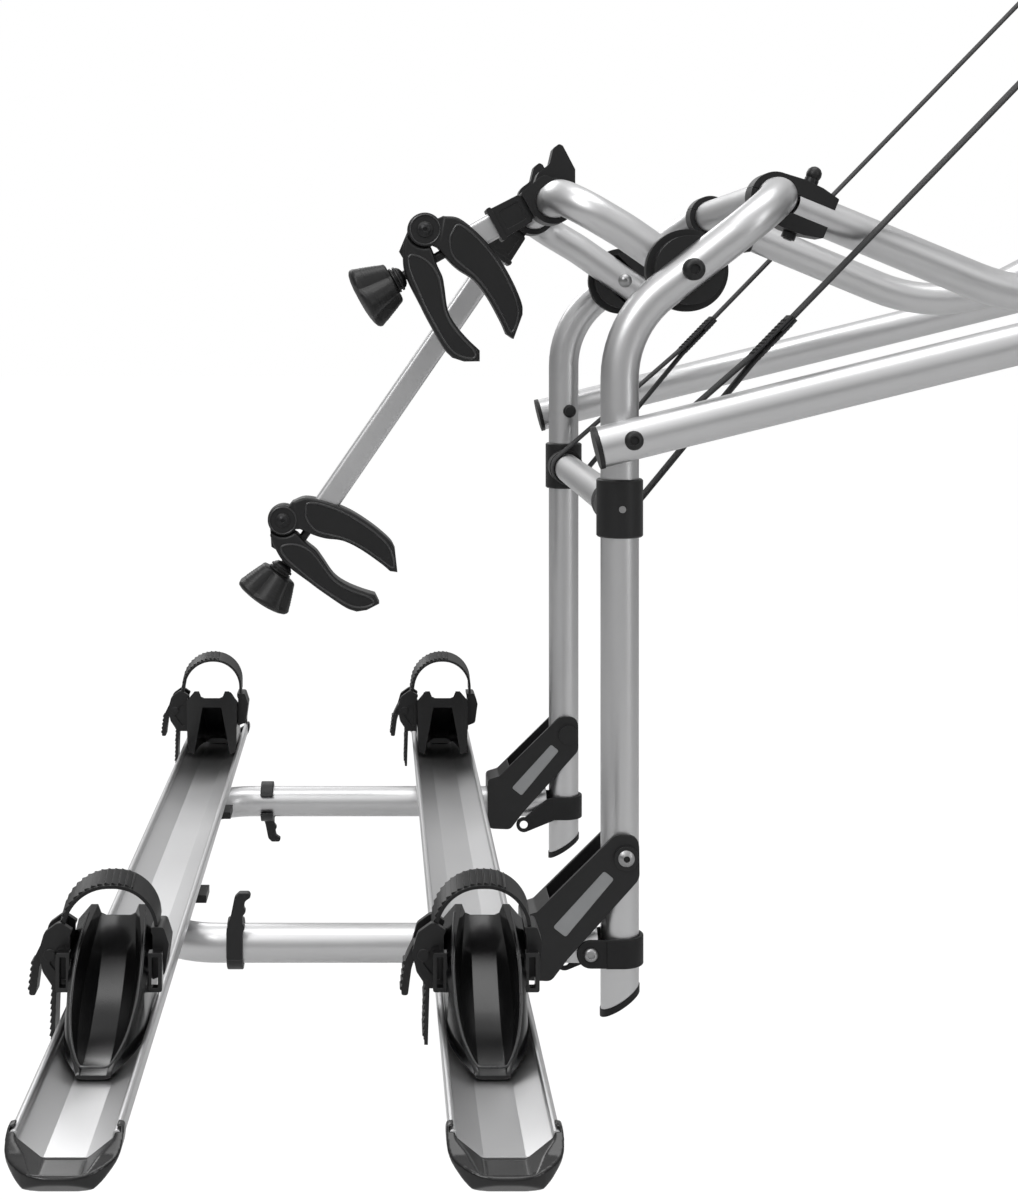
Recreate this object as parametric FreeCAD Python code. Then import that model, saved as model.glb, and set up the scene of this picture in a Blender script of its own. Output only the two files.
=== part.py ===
import FreeCAD, Part
import math
import os
from FreeCAD import Rotation, Vector

# Lift for bicycles on the rear wall of a motorhome, in its lowered pose.
# Millimetres. X runs to the vehicle, whose wall is the plane X = 0. Y runs across the vehicle.
# Z is up. The origin is the middle of the four wall bolts.

os.makedirs("parts", exist_ok=True)

# Clearances
pin_play = 0.05  # radial, between a pin and the hole that it turns in
fit_gap = 0.2  # radial, between a tube and the piece that holds it
body_gap = 0.35  # between pieces that move past each other

# Wall frame
rail_base = -1025.0  # underside of the wheel rails
upright_x = -50.0
upright_half_span = 225.0
upright_r = 17.5
wall_hole_half_height = 520.0
wall_hole_r = 4.5
foot_width = 56.0
foot_thickness = 6.0
foot_overlap = 44.0  # length of upright held in each foot
foot_hole_margin = 40.0  # from the wall hole to the upright's end
collar_wall = 5.0

# Tubes
tube_wall = 2.0
frame_r = 16.5
lower_arm_r = 17.5
upper_arm_r = 17.0
cross_r = 15.0
hoop_r = 16.0
bike_arm_r = 11.0

# Carrier: heights are above the underside of the wheel rails
leg_x = -1088.0
leg_half_span = 250.0
leg_foot_height = -62.0
leg_foot_slope = 33.0
leg_cap_thickness = 5.0
leg_knee_height = 516.5
leg_knee_r = 95.0
top_x = -940.0
top_height = 632.0
top_corner_r = 60.0
sleeve_height = 359.0
sleeve_length = 50.0
sleeve_wall = 3.6
sleeve_stub = 34.5  # reach of the stub that holds the cross tube, from the leg's axis

# Lifting arms
arm_length = 900.0
arm_slope = 13.85
lower_pivot_x = -1083.0
lower_pivot_height = 420.0
lower_arm_y = 290.0
lower_arm_tail = 27.0
upper_arm_y = 170.0
upper_arm_tail = 24.0
upper_arm_start = 20.0  # from the top tube's axis to the arm's end
knee_x = -685.0
knee_height = 526.5
knee_r = 170.0
pivot_bolt_r = 5.0

# Clamps of the upper arms round the top tube
clamp_width = 30.0
clamp_wall = 5.5
clamp_tongue = 46.0
clamp_bolt_at = 27.0
clamp_bolt_r = 4.0
clamp_split = 0.6

# Winding tube and lifting straps
strap_slope = 45.85
strap_run = 1360.0  # from the cross tube's axis to where a strap meets the winding tube
strap_y = 202.0
strap_width = 25.0
strap_thickness = 2.4
strap_wrap = 300.0  # degrees of strap that stay on the winding tube
winding_r = 22.0
winding_half_length = 262.0
winding_wall = 2.5
stitch_reach = 225.0  # from the cross tube to the sewn end of the loop
bearing_plate = 8.0
worm_wheel_r = 26.0
worm_wheel_width = 14.0
worm_r = 8.0
worm_length = 96.0
eye_r = 14.0
eye_wire_r = 3.5
housing_wall = 4.0

# Folding hoop
hinge_x = -1027.0
hinge_height = 564.0
hinge_disc_r = 36.0
hinge_disc_thickness = 5.8
hinge_bolt_r = 4.0
hoop_mid_x = -1075.0
hoop_mid_height = 611.0
hoop_top_x = -1132.5
hoop_top_height = 632.0
hoop_mid_r = 60.0
hoop_corner_r = 40.0
hoop_tail = 22.0

# Bike arms
short_arm_y = -92.0
long_arm_y = 128.0
short_arm_pitch = 29.0
long_arm_pitch = 55.5
short_arm_length = 88.5
long_arm_length = 384.5
arm_offset = 7.0  # the arm's axis passes this far above the hoop's axis
bracket_width = 42.0
bracket_wall = 5.5
bracket_reach = 59.0  # from the hoop's axis to the end flange
socket_wall = 3.2
fin_width = 28.0

# Claws
claw_length = 127.0
claw_width = 30.0
claw_boss_r = 17.0
claw_screw_r = 4.0
claw_arm_seat = 29.0  # from the claw's pivot line to the arm's end
claw_socket_top = 46.0
knob_rod_at = 28.0  # from the claw's pivot to the knob's rod, which is in line with the arm
knob_rod_r = 4.5
knob_seat = 37.0  # from the pivot line to the outer face of the moving jaw
knob_play = 0.9
washer_dome_r = 12.0
washer_thickness = 5.0
knob_r = 31.0
knob_height = 40.0
knob_lobes = 7

# Platform
platform_pivot_x = -1085.0
platform_pivot_height = 62.0
platform_bolt_r = 5.0
platform_end_gap = 4.0  # between the platform tube's end and the leg
platform_corner_r = 55.0
brace_cheek = 4.0
brace_top_r = 22.0
strap_ring_wall = 3.5
strap_ring_height = 25.0
strap_ring_drop = 4.0  # below the platform tube's axis
strap_bolt_x = -1115.0
strap_tab_x = -1138.0
strap_tab_drop = 19.0

# Wheel rails
rail_length = 1280.0
rail_near_y = -771.5
rail_half_width = 34.0
rail_height = 25.0
rail_wall = 2.6
rail_band_half = 13.0
rail_band_height = 8.5
inner_rail_x = -1220.0
outer_rail_x = -1489.0
rail_slot_half = 4.5
end_cap_length = 40.0
end_cap_wall = 2.0
saddle_width = 34.0
saddle_wall = 4.5
saddle_y = 150.0

# Wheel trays
tray_length = 128.0
tray_half_width = 29.5
tray_height = 84.0
tray_notch = 16.0
tray_wall = 3.0
near_tray_tip = 152.0  # from the near end of the rail to the tray's low tip
far_tray_tip = 37.0  # from the far end of the rail to the tray's low tip
tray_lift = 1.0
tray_loop_lift = 17.0  # of the side loops, which pass over the rail's edges
tray_strap_width = 16.0
tray_strap_thickness = 2.6
tray_strap_at = 26.0  # from the tall end of the tray to the strap's middle
lever_pin_x = 15.0  # from the tray's side to the lever's pin
lever_pin_height = 54.0
lever_head_r = 5.5

# Clips on the platform tube
clip_x = -1419.0
clip_width = 14.0
clip_wall = 5.0
clip_reach = 49.0

frame_axis = rail_base - frame_r - fit_gap  # level of the platform tube, which carries the rails
tiny = 0.01


def level(height):
    """Z of a height above the underside of the wheel rails."""
    return rail_base + height


def at(x, y, height):
    return Vector(x, y, level(height))


def rounded_wire(points, radii, closed=False):
    """Straight runs between points, joined by tangent arcs of the given radii."""
    count = len(points)
    stops = []
    for i, (point, r) in enumerate(zip(points, radii)):
        if r <= 0:
            stops.append((point, None, point))
            continue
        back = (points[i - 1] - point).normalize()
        onward = (points[(i + 1) % count] - point).normalize()
        half = back.getAngle(onward) / 2
        reach = r / math.tan(half)
        middle = (back + onward).normalize() * (r / math.sin(half) - r)
        stops.append((point + back * reach, point + middle, point + onward * reach))
    edges = []
    for i, (start, middle, end) in enumerate(stops):
        if middle is not None:
            edges.append(Part.Arc(start, middle, end).toShape())
        if i == count - 1 and not closed:
            break
        following = stops[(i + 1) % count][0]
        if (following - end).Length > tiny:
            edges.append(Part.makeLine(end, following))
    return Part.Wire(edges)


def pipe(points, radii, r):
    wire = rounded_wire(points, radii)
    section = Part.Wire(Part.makeCircle(r, points[0], points[1] - points[0]))
    return wire.makePipeShell([section], True, False)


def tube(points, radii, r, wall=tube_wall):
    return pipe(points, radii, r).cut(pipe(points, radii, r - wall))


def rod(start, end, r):
    return Part.makeCylinder(r, (end - start).Length, start, end - start)


def across(x, z, y_from, y_to, r):
    """A round bar along Y."""
    return rod(Vector(x, y_from, z), Vector(x, y_to, z), r)


def outline(points, radii, y_from, y_to):
    """A plate whose XZ outline has rounded corners, from y_from to y_to."""
    corners = [Vector(x, y_from, z) for x, z in points]
    if not isinstance(radii, (list, tuple)):
        radii = [radii] * len(points)
    face = Part.Face(rounded_wire(corners, radii, closed=True))
    return face.extrude(Vector(0, y_to - y_from, 0))


def box(x_from, x_to, y_from, y_to, z_from, z_to):
    return Part.makeBox(x_to - x_from, y_to - y_from, z_to - z_from, Vector(x_from, y_from, z_from))


def join(shapes):
    first, *rest = shapes
    return first.fuse(rest).removeSplitter() if rest else first


def placed(shape, x, y, z, pitch=0.0):
    """A copy turned about Y by pitch degrees and then moved."""
    copy = shape.copy()
    copy.Placement = FreeCAD.Placement(Vector(x, y, z), Rotation(Vector(0, 1, 0), pitch))
    return copy


def button_bolt(x, z, y_head, y_tip, r, head_r, head):
    """A round-headed bolt along Y: the head stands past y_head, away from y_tip."""
    side = math.copysign(1, y_head - y_tip)
    dome_r = head_r * 1.15
    dome = Part.makeSphere(dome_r, Vector(x, y_head + side * (head - dome_r), z))
    cap = across(x, z, y_head, y_head + side * head, head_r).common(dome)
    socket = across(x, z, y_head + side * head * 0.35, y_head + side * head * 2, r * 0.55)
    return join([across(x, z, y_head, y_tip, r), cap]).cut(socket)


def export(name, shapes):
    solids = []
    for shape in shapes if isinstance(shapes, (list, tuple)) else [shapes]:
        solids += shape.Solids
    Part.makeCompound(solids).exportStep(f"parts/{name}.step")
    print(name, len(solids), "solids", round(sum(s.Volume for s in solids)), "mm3")


# Places that several pieces share
arm_run = arm_length * math.cos(math.radians(arm_slope))
arm_rise = arm_length * math.sin(math.radians(arm_slope))
lower_wall_x = lower_pivot_x + arm_run
lower_wall_height = lower_pivot_height + arm_rise
upper_wall_x = top_x + arm_run
upper_wall_height = top_height + arm_rise
top_slope = math.atan2(top_height - knee_height, knee_x - top_x)
strap_seat_r = winding_r + fit_gap + strap_thickness / 2
strap_along = Vector(math.cos(math.radians(strap_slope)), 0, math.sin(math.radians(strap_slope)))
winding_x = leg_x + strap_run * strap_along.x + strap_seat_r * strap_along.z
winding_height = sleeve_height + strap_run * strap_along.z - strap_seat_r * strap_along.x
platform_end_x = leg_x - frame_r - platform_end_gap
sleeve_r = frame_r + sleeve_wall
bike_arm_start = hoop_r + bracket_wall + 4.5  # from the hoop's axis, inside the bracket
hoop_half_span = leg_half_span - frame_r - 2 * hinge_disc_thickness - 2 * body_gap - hoop_r


def main_frame():
    """One tube: two legs that lean to the vehicle at the top, and the tube across between them."""
    foot = leg_foot_height - 40
    side = [
        (leg_x, foot, 0),
        (leg_x, leg_knee_height, leg_knee_r),
        (top_x, top_height, top_corner_r),
    ]
    near = [(at(x, -leg_half_span, h), r) for x, h, r in side]
    far = [(at(x, leg_half_span, h), r) for x, h, r in reversed(side)]
    points, radii = zip(*(near + far))
    shape = tube(list(points), list(radii), frame_r)
    for sign in (-1, 1):
        y = sign * leg_half_span
        shape = shape.cut(below_foot(y, 0))
        shape = shape.cut(across(lower_pivot_x, level(lower_pivot_height), y - 30, y + 30, pivot_bolt_r + pin_play))
        shape = shape.cut(across(hinge_x, level(hinge_height), y - 30, y + 30, hinge_bolt_r + pin_play))
        shape = shape.cut(
            across(platform_pivot_x, level(platform_pivot_height), y - 30, y + 30, platform_bolt_r + pin_play)
        )
    return shape


def below_foot(y, offset):
    """Everything below the slanted foot of a leg, offset along the foot's normal."""
    reach = 90
    block = box(-reach, reach, -reach, reach, -2 * reach, offset)
    return placed(block, leg_x, y, level(leg_foot_height), -leg_foot_slope)


def leg_cap(y):
    """Rubber cap on a slanted leg end: a flange the tube stands on and a plug inside it."""
    flange = rod(at(leg_x, y, leg_foot_height - 60), at(leg_x, y, leg_foot_height + 60), frame_r + 0.6)
    flange = flange.common(below_foot(y, -fit_gap)).cut(below_foot(y, -fit_gap - leg_cap_thickness))
    plug_r = frame_r - tube_wall - fit_gap
    plug = rod(at(leg_x, y, leg_foot_height - 60), at(leg_x, y, leg_foot_height + 22), plug_r)
    plug = plug.cut(below_foot(y, -fit_gap - leg_cap_thickness / 2))
    return join([flange, plug])


def tee_sleeve(y):
    """Sleeve round a leg with a short stub that takes the cross tube."""
    inward = -math.copysign(1, y)
    low = at(leg_x, y, sleeve_height - sleeve_length / 2)
    high = at(leg_x, y, sleeve_height + sleeve_length / 2)
    barrel = rod(low, high, sleeve_r)
    barrel = barrel.makeChamfer(1.2, [e for e in barrel.Edges if e.Length > 2 * sleeve_r * 3])
    middle = at(leg_x, y, sleeve_height)
    stub_end = middle + Vector(0, inward * sleeve_stub, 0)
    stub = rod(middle, stub_end, cross_r + sleeve_wall)
    bore = rod(low - Vector(0, 0, 5), high + Vector(0, 0, 5), frame_r + fit_gap)
    seat = rod(middle, stub_end + Vector(0, inward * 5, 0), cross_r + fit_gap)
    screw = rod(middle, middle - Vector(0, inward * 40, 0), 3 + pin_play)
    return join([barrel, stub]).cut(bore).cut(seat).cut(screw)


def cross_tube():
    half = leg_half_span - frame_r - 2
    start = at(leg_x, -half, sleeve_height)
    end = at(leg_x, half, sleeve_height)
    shape = rod(start, end, cross_r).cut(rod(start, end, cross_r - tube_wall))
    for y in (-leg_half_span, leg_half_span):
        leg = rod(at(leg_x, y, sleeve_height - 60), at(leg_x, y, sleeve_height + 60), frame_r + fit_gap)
        shape = shape.cut(leg)
    return shape


def tee_screw(y):
    outward = math.copysign(1, y)
    face = y + outward * (sleeve_r + 0.1)
    return button_bolt(leg_x, level(sleeve_height), face, face - outward * 3.2, 3.0, 5.5, 3.0)


def hinge_cap(y):
    """Domed cap over the hoop hinge on a leg's outer side."""
    outward = math.copysign(1, y)
    face = y + outward * (frame_r + 0.3)
    dome = Part.makeSphere(11, Vector(hinge_x, face - outward * 5.5, level(hinge_height)))
    keep = across(hinge_x, level(hinge_height), min(face, face + outward * 8), max(face, face + outward * 8), 9)
    pocket = across(hinge_x, level(hinge_height), min(face, face + outward), max(face, face + outward), 5.5)
    return dome.common(keep).cut(pocket)


def hinge_disc(y_from, y_to, tube_y, cradle_slope):
    """Round hinge plate with a cradle that saddles the tube it is bolted to."""
    z = level(hinge_height)
    outward = math.copysign(1, tube_y - (y_from + y_to) / 2)
    disc = across(hinge_x, z, y_from, y_to, hinge_disc_r)
    rim_face = y_to if outward > 0 else y_from
    cradle = across(hinge_x, z, min(rim_face, tube_y), max(rim_face, tube_y), hinge_disc_r - 6)
    direction = Vector(math.cos(cradle_slope), 0, math.sin(cradle_slope))
    middle = Vector(hinge_x, tube_y, z)
    r = (frame_r if abs(tube_y) > (leg_half_span + hoop_half_span) / 2 else hoop_r) + fit_gap
    groove = rod(middle - direction * 80, middle + direction * 80, r)
    bore = across(hinge_x, z, y_from - 40, y_to + 40, hinge_bolt_r + pin_play)
    return join([disc, cradle]).cut(groove).cut(bore)


def outer_disc(sign):
    face = leg_half_span - frame_r
    slope = math.atan2(top_height - leg_knee_height, top_x - leg_x)
    low, high = sorted((sign * face, sign * (face - hinge_disc_thickness)))
    return hinge_disc(low, high, sign * leg_half_span, slope)


def inner_disc(sign):
    face = hoop_half_span + hoop_r
    slope = math.atan2(hoop_mid_height - hinge_height, hoop_mid_x - hinge_x)
    low, high = sorted((sign * face, sign * (face + hinge_disc_thickness)))
    return hinge_disc(low, high, sign * hoop_half_span, slope)


def hoop_tube():
    slope = math.atan2(hoop_mid_height - hinge_height, hoop_mid_x - hinge_x)
    tail_x = hinge_x - hoop_tail * math.cos(slope)
    tail_height = hinge_height - hoop_tail * math.sin(slope)
    side = [
        (tail_x, tail_height, 0),
        (hoop_mid_x, hoop_mid_height, hoop_mid_r),
        (hoop_top_x, hoop_top_height, hoop_corner_r),
    ]
    near = [(at(x, -hoop_half_span, h), r) for x, h, r in side]
    far = [(at(x, hoop_half_span, h), r) for x, h, r in reversed(side)]
    points, radii = zip(*(near + far))
    shape = tube(list(points), list(radii), hoop_r)
    hole = across(hinge_x, level(hinge_height), -leg_half_span, leg_half_span, hinge_bolt_r + pin_play)
    return shape.cut(hole)


def hinge_bolt(sign):
    head_y = sign * (hoop_half_span - hoop_r - 0.1)
    tip_y = sign * (leg_half_span + frame_r + 0.2)
    return button_bolt(hinge_x, level(hinge_height), head_y, tip_y, hinge_bolt_r, 7.5, 4.5)


def lower_arm(y):
    direction = Vector(math.cos(math.radians(arm_slope)), 0, math.sin(math.radians(arm_slope)))
    start = at(lower_pivot_x, y, lower_pivot_height) - direction * lower_arm_tail
    end = at(lower_wall_x, y, lower_wall_height) + direction * upper_arm_tail
    shape = rod(start, end, lower_arm_r).cut(rod(start, end, lower_arm_r - tube_wall))
    for x, h in ((lower_pivot_x, lower_pivot_height), (lower_wall_x, lower_wall_height)):
        shape = shape.cut(across(x, level(h), y - 30, y + 30, pivot_bolt_r + pin_play))
    return shape


def arm_plug(end, direction, r):
    """Cap for a tube's end: a flange past the end and a plug inside."""
    flange = rod(end + direction * fit_gap, end + direction * (fit_gap + 4), r + 0.8)
    plug = rod(end - direction * 12, end + direction * 1, r - tube_wall - fit_gap)
    return join([flange, plug])


def lower_arm_caps():
    direction = Vector(math.cos(math.radians(arm_slope)), 0, math.sin(math.radians(arm_slope)))
    caps = []
    for sign in (-1, 1):
        y = sign * lower_arm_y
        start = at(lower_pivot_x, y, lower_pivot_height) - direction * lower_arm_tail
        end = at(lower_wall_x, y, lower_wall_height) + direction * upper_arm_tail
        caps += [arm_plug(start, -direction, lower_arm_r), arm_plug(end, direction, lower_arm_r)]
        low, high = sorted((sign * (leg_half_span + frame_r + body_gap), sign * (lower_arm_y - lower_arm_r - 0.1)))
        washer = across(lower_pivot_x, level(lower_pivot_height), low, high, 12)
        hole = across(lower_pivot_x, level(lower_pivot_height), low - 1, high + 1, pivot_bolt_r + pin_play)
        caps.append(washer.cut(hole))
    return caps


def lower_arm_bolts():
    bolts = []
    for sign in (-1, 1):
        head = sign * (lower_arm_y + lower_arm_r + 0.2)
        leg_side = sign * (leg_half_span - frame_r - 6)
        bolts.append(
            button_bolt(lower_pivot_x, level(lower_pivot_height), head, leg_side, pivot_bolt_r, 8.7, 6.0)
        )
        plate_side = sign * (upright_half_span + upright_r + collar_wall - 8)
        bolts.append(
            button_bolt(lower_wall_x, level(lower_wall_height), head, plate_side, pivot_bolt_r, 8.7, 6.0)
        )
    return bolts


def upper_arm(y):
    along = Vector(math.cos(top_slope), 0, -math.sin(top_slope))
    start = at(top_x, y, top_height) + along * upper_arm_start
    knee = at(knee_x, y, knee_height)
    wall = at(upper_wall_x, y, upper_wall_height)
    end = wall + (wall - knee).normalize() * upper_arm_tail
    shape = tube([start, knee, end], [0, knee_r, 0], upper_arm_r)
    ring = across(top_x, level(top_height), y - 30, y + 30, frame_r + clamp_wall + fit_gap)
    hole = across(upper_wall_x, level(upper_wall_height), y - 30, y + 30, pivot_bolt_r + pin_play)
    middle = at(top_x, y, top_height) + along * clamp_bolt_at
    up = Vector(math.sin(top_slope), 0, math.cos(top_slope))
    bolt = rod(middle - up * 40, middle + up * 40, clamp_bolt_r + pin_play)
    return shape.cut(ring).cut(hole).cut(bolt)


def clamp_half(side):
    """Half of the clamp round the top tube, in its own frame: the arm leaves along +X."""
    outer = across(0, 0, -clamp_width / 2, clamp_width / 2, frame_r + clamp_wall)
    tongue_top = upper_arm_r + fit_gap + 3.6
    profile = [(0, 0), (0, frame_r + clamp_wall), (clamp_bolt_at - 8, tongue_top + 3), (clamp_bolt_at + 10, tongue_top + 2),
               (clamp_tongue + 8, upper_arm_r + 2), (clamp_tongue + 8, 0)]
    tongue = outline([(x, side * z) for x, z in profile], [0, 0, 6, 5, 1.5, 0], -clamp_width / 2, clamp_width / 2)
    shape = join([outer, tongue])
    arm = rod(Vector(upper_arm_start - 2, 0, 0), Vector(100, 0, 0), upper_arm_r + fit_gap)
    bore = across(0, 0, -clamp_width, clamp_width, frame_r + body_gap)
    other = box(-60, 100, -40, 40, -60, clamp_split / 2) if side > 0 else box(-60, 100, -40, 40, -clamp_split / 2, 60)
    bolt = rod(Vector(clamp_bolt_at, 0, -50), Vector(clamp_bolt_at, 0, 50), clamp_bolt_r + pin_play)
    return shape.cut(bore).cut(arm).cut(other).cut(bolt)


def clamp_bolt():
    top = upper_arm_r + 3.6 + 3
    shank = rod(Vector(clamp_bolt_at, 0, -top - 7), Vector(clamp_bolt_at, 0, top), clamp_bolt_r)
    head = rod(Vector(clamp_bolt_at, 0, top + 0.2), Vector(clamp_bolt_at, 0, top + 5), 6.5)
    nut = rod(Vector(clamp_bolt_at, 0, -top - 6), Vector(clamp_bolt_at, 0, -top - 0.2), 6.5)
    return join([shank, head, nut])


def top_clamps(piece):
    pitch = math.degrees(top_slope)
    return [placed(piece, top_x, sign * upper_arm_y, level(top_height), pitch) for sign in (-1, 1)]


def upper_arm_bolts():
    bolts = top_clamps(clamp_bolt())
    for sign in (-1, 1):
        head = sign * (upper_arm_y - upper_arm_r - 0.2)
        tip = sign * (upright_half_span - upright_r - collar_wall + 8)
        bolts.append(button_bolt(upper_wall_x, level(upper_wall_height), head, tip, pivot_bolt_r, 8.7, 6.0))
    return bolts


def upright(y):
    low = Vector(upright_x, y, -wall_hole_half_height + foot_hole_margin)
    high = Vector(upright_x, y, wall_hole_half_height - foot_hole_margin)
    return rod(low, high, upright_r).cut(rod(low, high, upright_r - tube_wall))


def wall_foot(y, end):
    """Foot on the wall: a plate with one bolt hole and a collar that holds an upright's end."""
    hole_z = end * wall_hole_half_height
    tube_end = hole_z - end * foot_hole_margin
    inner = tube_end - end * foot_overlap
    plate_low, plate_high = sorted((hole_z + end * 20, inner))
    plate = box(-foot_thickness, 0, y - foot_width / 2, y + foot_width / 2, plate_low, plate_high)
    plate = plate.makeFillet(10, [e for e in plate.Edges if abs(e.BoundBox.XLength - foot_thickness) < tiny])
    collar_low, collar_high = sorted((tube_end + end * 3, inner))
    collar_r = upright_r + collar_wall
    collar = rod(Vector(upright_x, y, collar_low), Vector(upright_x, y, collar_high), collar_r)
    web = box(upright_x, -foot_thickness, y - collar_r, y + collar_r, collar_low, collar_high)
    socket_low, socket_high = sorted((tube_end + end * fit_gap, inner - end * 5))
    socket = rod(Vector(upright_x, y, socket_low), Vector(upright_x, y, socket_high), upright_r + fit_gap)
    hole = rod(Vector(-20, y, hole_z), Vector(5, y, hole_z), wall_hole_r)
    return join([plate, collar, web]).cut(socket).cut(hole)


def foot_screw(y, end):
    """Grub screw that locks the upright in its foot, from the front."""
    z = end * (wall_hole_half_height - foot_hole_margin - foot_overlap / 2)
    face = upright_x - upright_r - collar_wall
    head = rod(Vector(face - 5, y, z), Vector(face - 0.1, y, z), 5.5)
    socket = rod(Vector(face - 6, y, z), Vector(face - 2, y, z), 2.6)
    return head.cut(socket)


def plate_bracket(pivot_x, pivot_height, y_from, y_to, upright_y, pivot_hole_r, boss_r=16.0):
    """Collar round an upright with a cheek that reaches to a pivot."""
    z = level(pivot_height)
    collar_r = upright_r + collar_wall
    half = 30.0
    collar = rod(Vector(upright_x, upright_y, z - half), Vector(upright_x, upright_y, z + half), collar_r)
    boss = across(pivot_x, z, y_from, y_to, boss_r)
    run = upright_x - pivot_x
    cheek = outline(
        [(pivot_x, z - boss_r), (upright_x, z - half), (upright_x, z + half), (pivot_x, z + boss_r)],
        0, y_from, y_to,
    ) if run > 1 else boss
    bore = rod(Vector(upright_x, upright_y, z - 2 * half), Vector(upright_x, upright_y, z + 2 * half), upright_r + fit_gap)
    hole = across(pivot_x, z, y_from - 5, y_to + 5, pivot_hole_r)
    shape = join([collar, boss, cheek]).cut(bore).cut(hole)
    window = run - 2 * boss_r - collar_r
    if window > 20:
        left, right = pivot_x + boss_r + 4, upright_x - collar_r - 4
        opening = outline([(left, z - 9), (right, z - 18), (right, z + 18), (left, z + 9)], 5, y_from - 1, y_to + 1)
        shape = shape.cut(opening)
    return shape


def arm_brackets():
    brackets = []
    for sign in (-1, 1):
        y = sign * upright_half_span
        outer_low = upright_half_span + upright_r - 2
        outer_high = lower_arm_y - lower_arm_r - 1
        low, high = sorted((sign * outer_low, sign * outer_high))
        brackets.append(
            plate_bracket(lower_wall_x, lower_wall_height, low, high, y, pivot_bolt_r + pin_play)
        )
        inner_high = upright_half_span - upright_r + 2
        inner_low = upper_arm_y + upper_arm_r + 1
        low, high = sorted((sign * inner_low, sign * inner_high))
        brackets.append(
            plate_bracket(upper_wall_x, upper_wall_height, low, high, y, pivot_bolt_r + pin_play)
        )
    return brackets


def winding_bearing(sign):
    low, high = sorted((sign * (upright_half_span + upright_r - 2), sign * (upright_half_span + upright_r + bearing_plate)))
    shape = plate_bracket(
        winding_x, winding_height, low, high, sign * upright_half_span, winding_r + pin_play, winding_r + 7,
    )
    strap_path = across(winding_x, level(winding_height), -winding_half_length, winding_half_length, winding_r + 8)
    inside = box(-400, 0, -upright_half_span, upright_half_span, level(winding_height) - 90, level(winding_height) + 90)
    return shape.cut(strap_path.common(inside))


def winding_tube():
    z = level(winding_height)
    length = winding_half_length
    tube_shape = across(winding_x, z, -length, length, winding_r)
    bore = across(winding_x, z, -length - 1, length + 1, winding_r - winding_wall)
    return tube_shape.cut(bore)


def worm_wheel():
    """Wheel pinned in the winding tube's near end, inside the winch housing."""
    z = level(winding_height)
    wheel_y = -winding_half_length - worm_wheel_width - 2
    wheel = across(winding_x, z, wheel_y, wheel_y + worm_wheel_width, worm_wheel_r)
    hub = across(winding_x, z, wheel_y + worm_wheel_width, -winding_half_length + 30, winding_r - winding_wall - fit_gap)
    axle = across(winding_x, z, wheel_y - 6, wheel_y, 5)
    return join([wheel, hub, axle])


def winch_housing():
    z = level(winding_height)
    y_in = -(upright_half_span + upright_r + bearing_plate)
    wheel_y = -winding_half_length - worm_wheel_width - 2
    y_out = wheel_y - 2 - housing_wall
    worm_x = winding_x - worm_wheel_r - worm_r - body_gap
    half = worm_wheel_r + 4 + housing_wall
    left = worm_x - worm_r - 3 - housing_wall
    right = winding_x + half
    shell = outline([(left, z - half), (right, z - half), (right, z + half), (left, z + half)], 12, y_out, y_in)
    inner = outline(
        [(left + housing_wall, z - half + housing_wall), (right - housing_wall, z - half + housing_wall),
         (right - housing_wall, z + half - housing_wall), (left + housing_wall, z + half - housing_wall)],
        9, y_out + housing_wall, y_in - housing_wall,
    )
    drum = across(winding_x, z, -winding_half_length - 1, y_in + 1, winding_r + pin_play)
    axle = across(winding_x, z, wheel_y - 7, wheel_y, 5 + pin_play)
    worm_y = wheel_y + worm_wheel_width / 2
    shaft = rod(Vector(worm_x, worm_y, z - half - 5), Vector(worm_x, worm_y, z + half + 5), 6 + pin_play)
    return shell.cut(inner).cut(drum).cut(axle).cut(shaft)


def winch_worm():
    """Upright worm with the eye that the crank rod hooks into."""
    z = level(winding_height)
    wheel_y = -winding_half_length - worm_wheel_width - 2
    worm_y = wheel_y + worm_wheel_width / 2
    worm_x = winding_x - worm_wheel_r - worm_r - body_gap
    half = worm_wheel_r + 4 + housing_wall
    low = z - half - worm_length / 2
    shaft = rod(Vector(worm_x, worm_y, low), Vector(worm_x, worm_y, z + half - 1), 6)
    worm = rod(Vector(worm_x, worm_y, z - worm_wheel_r), Vector(worm_x, worm_y, z + worm_wheel_r), worm_r)
    eye = Part.makeTorus(eye_r, eye_wire_r, Vector(worm_x, worm_y, low - eye_r), Vector(0, 1, 0))
    return join([shaft, worm, eye])


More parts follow.
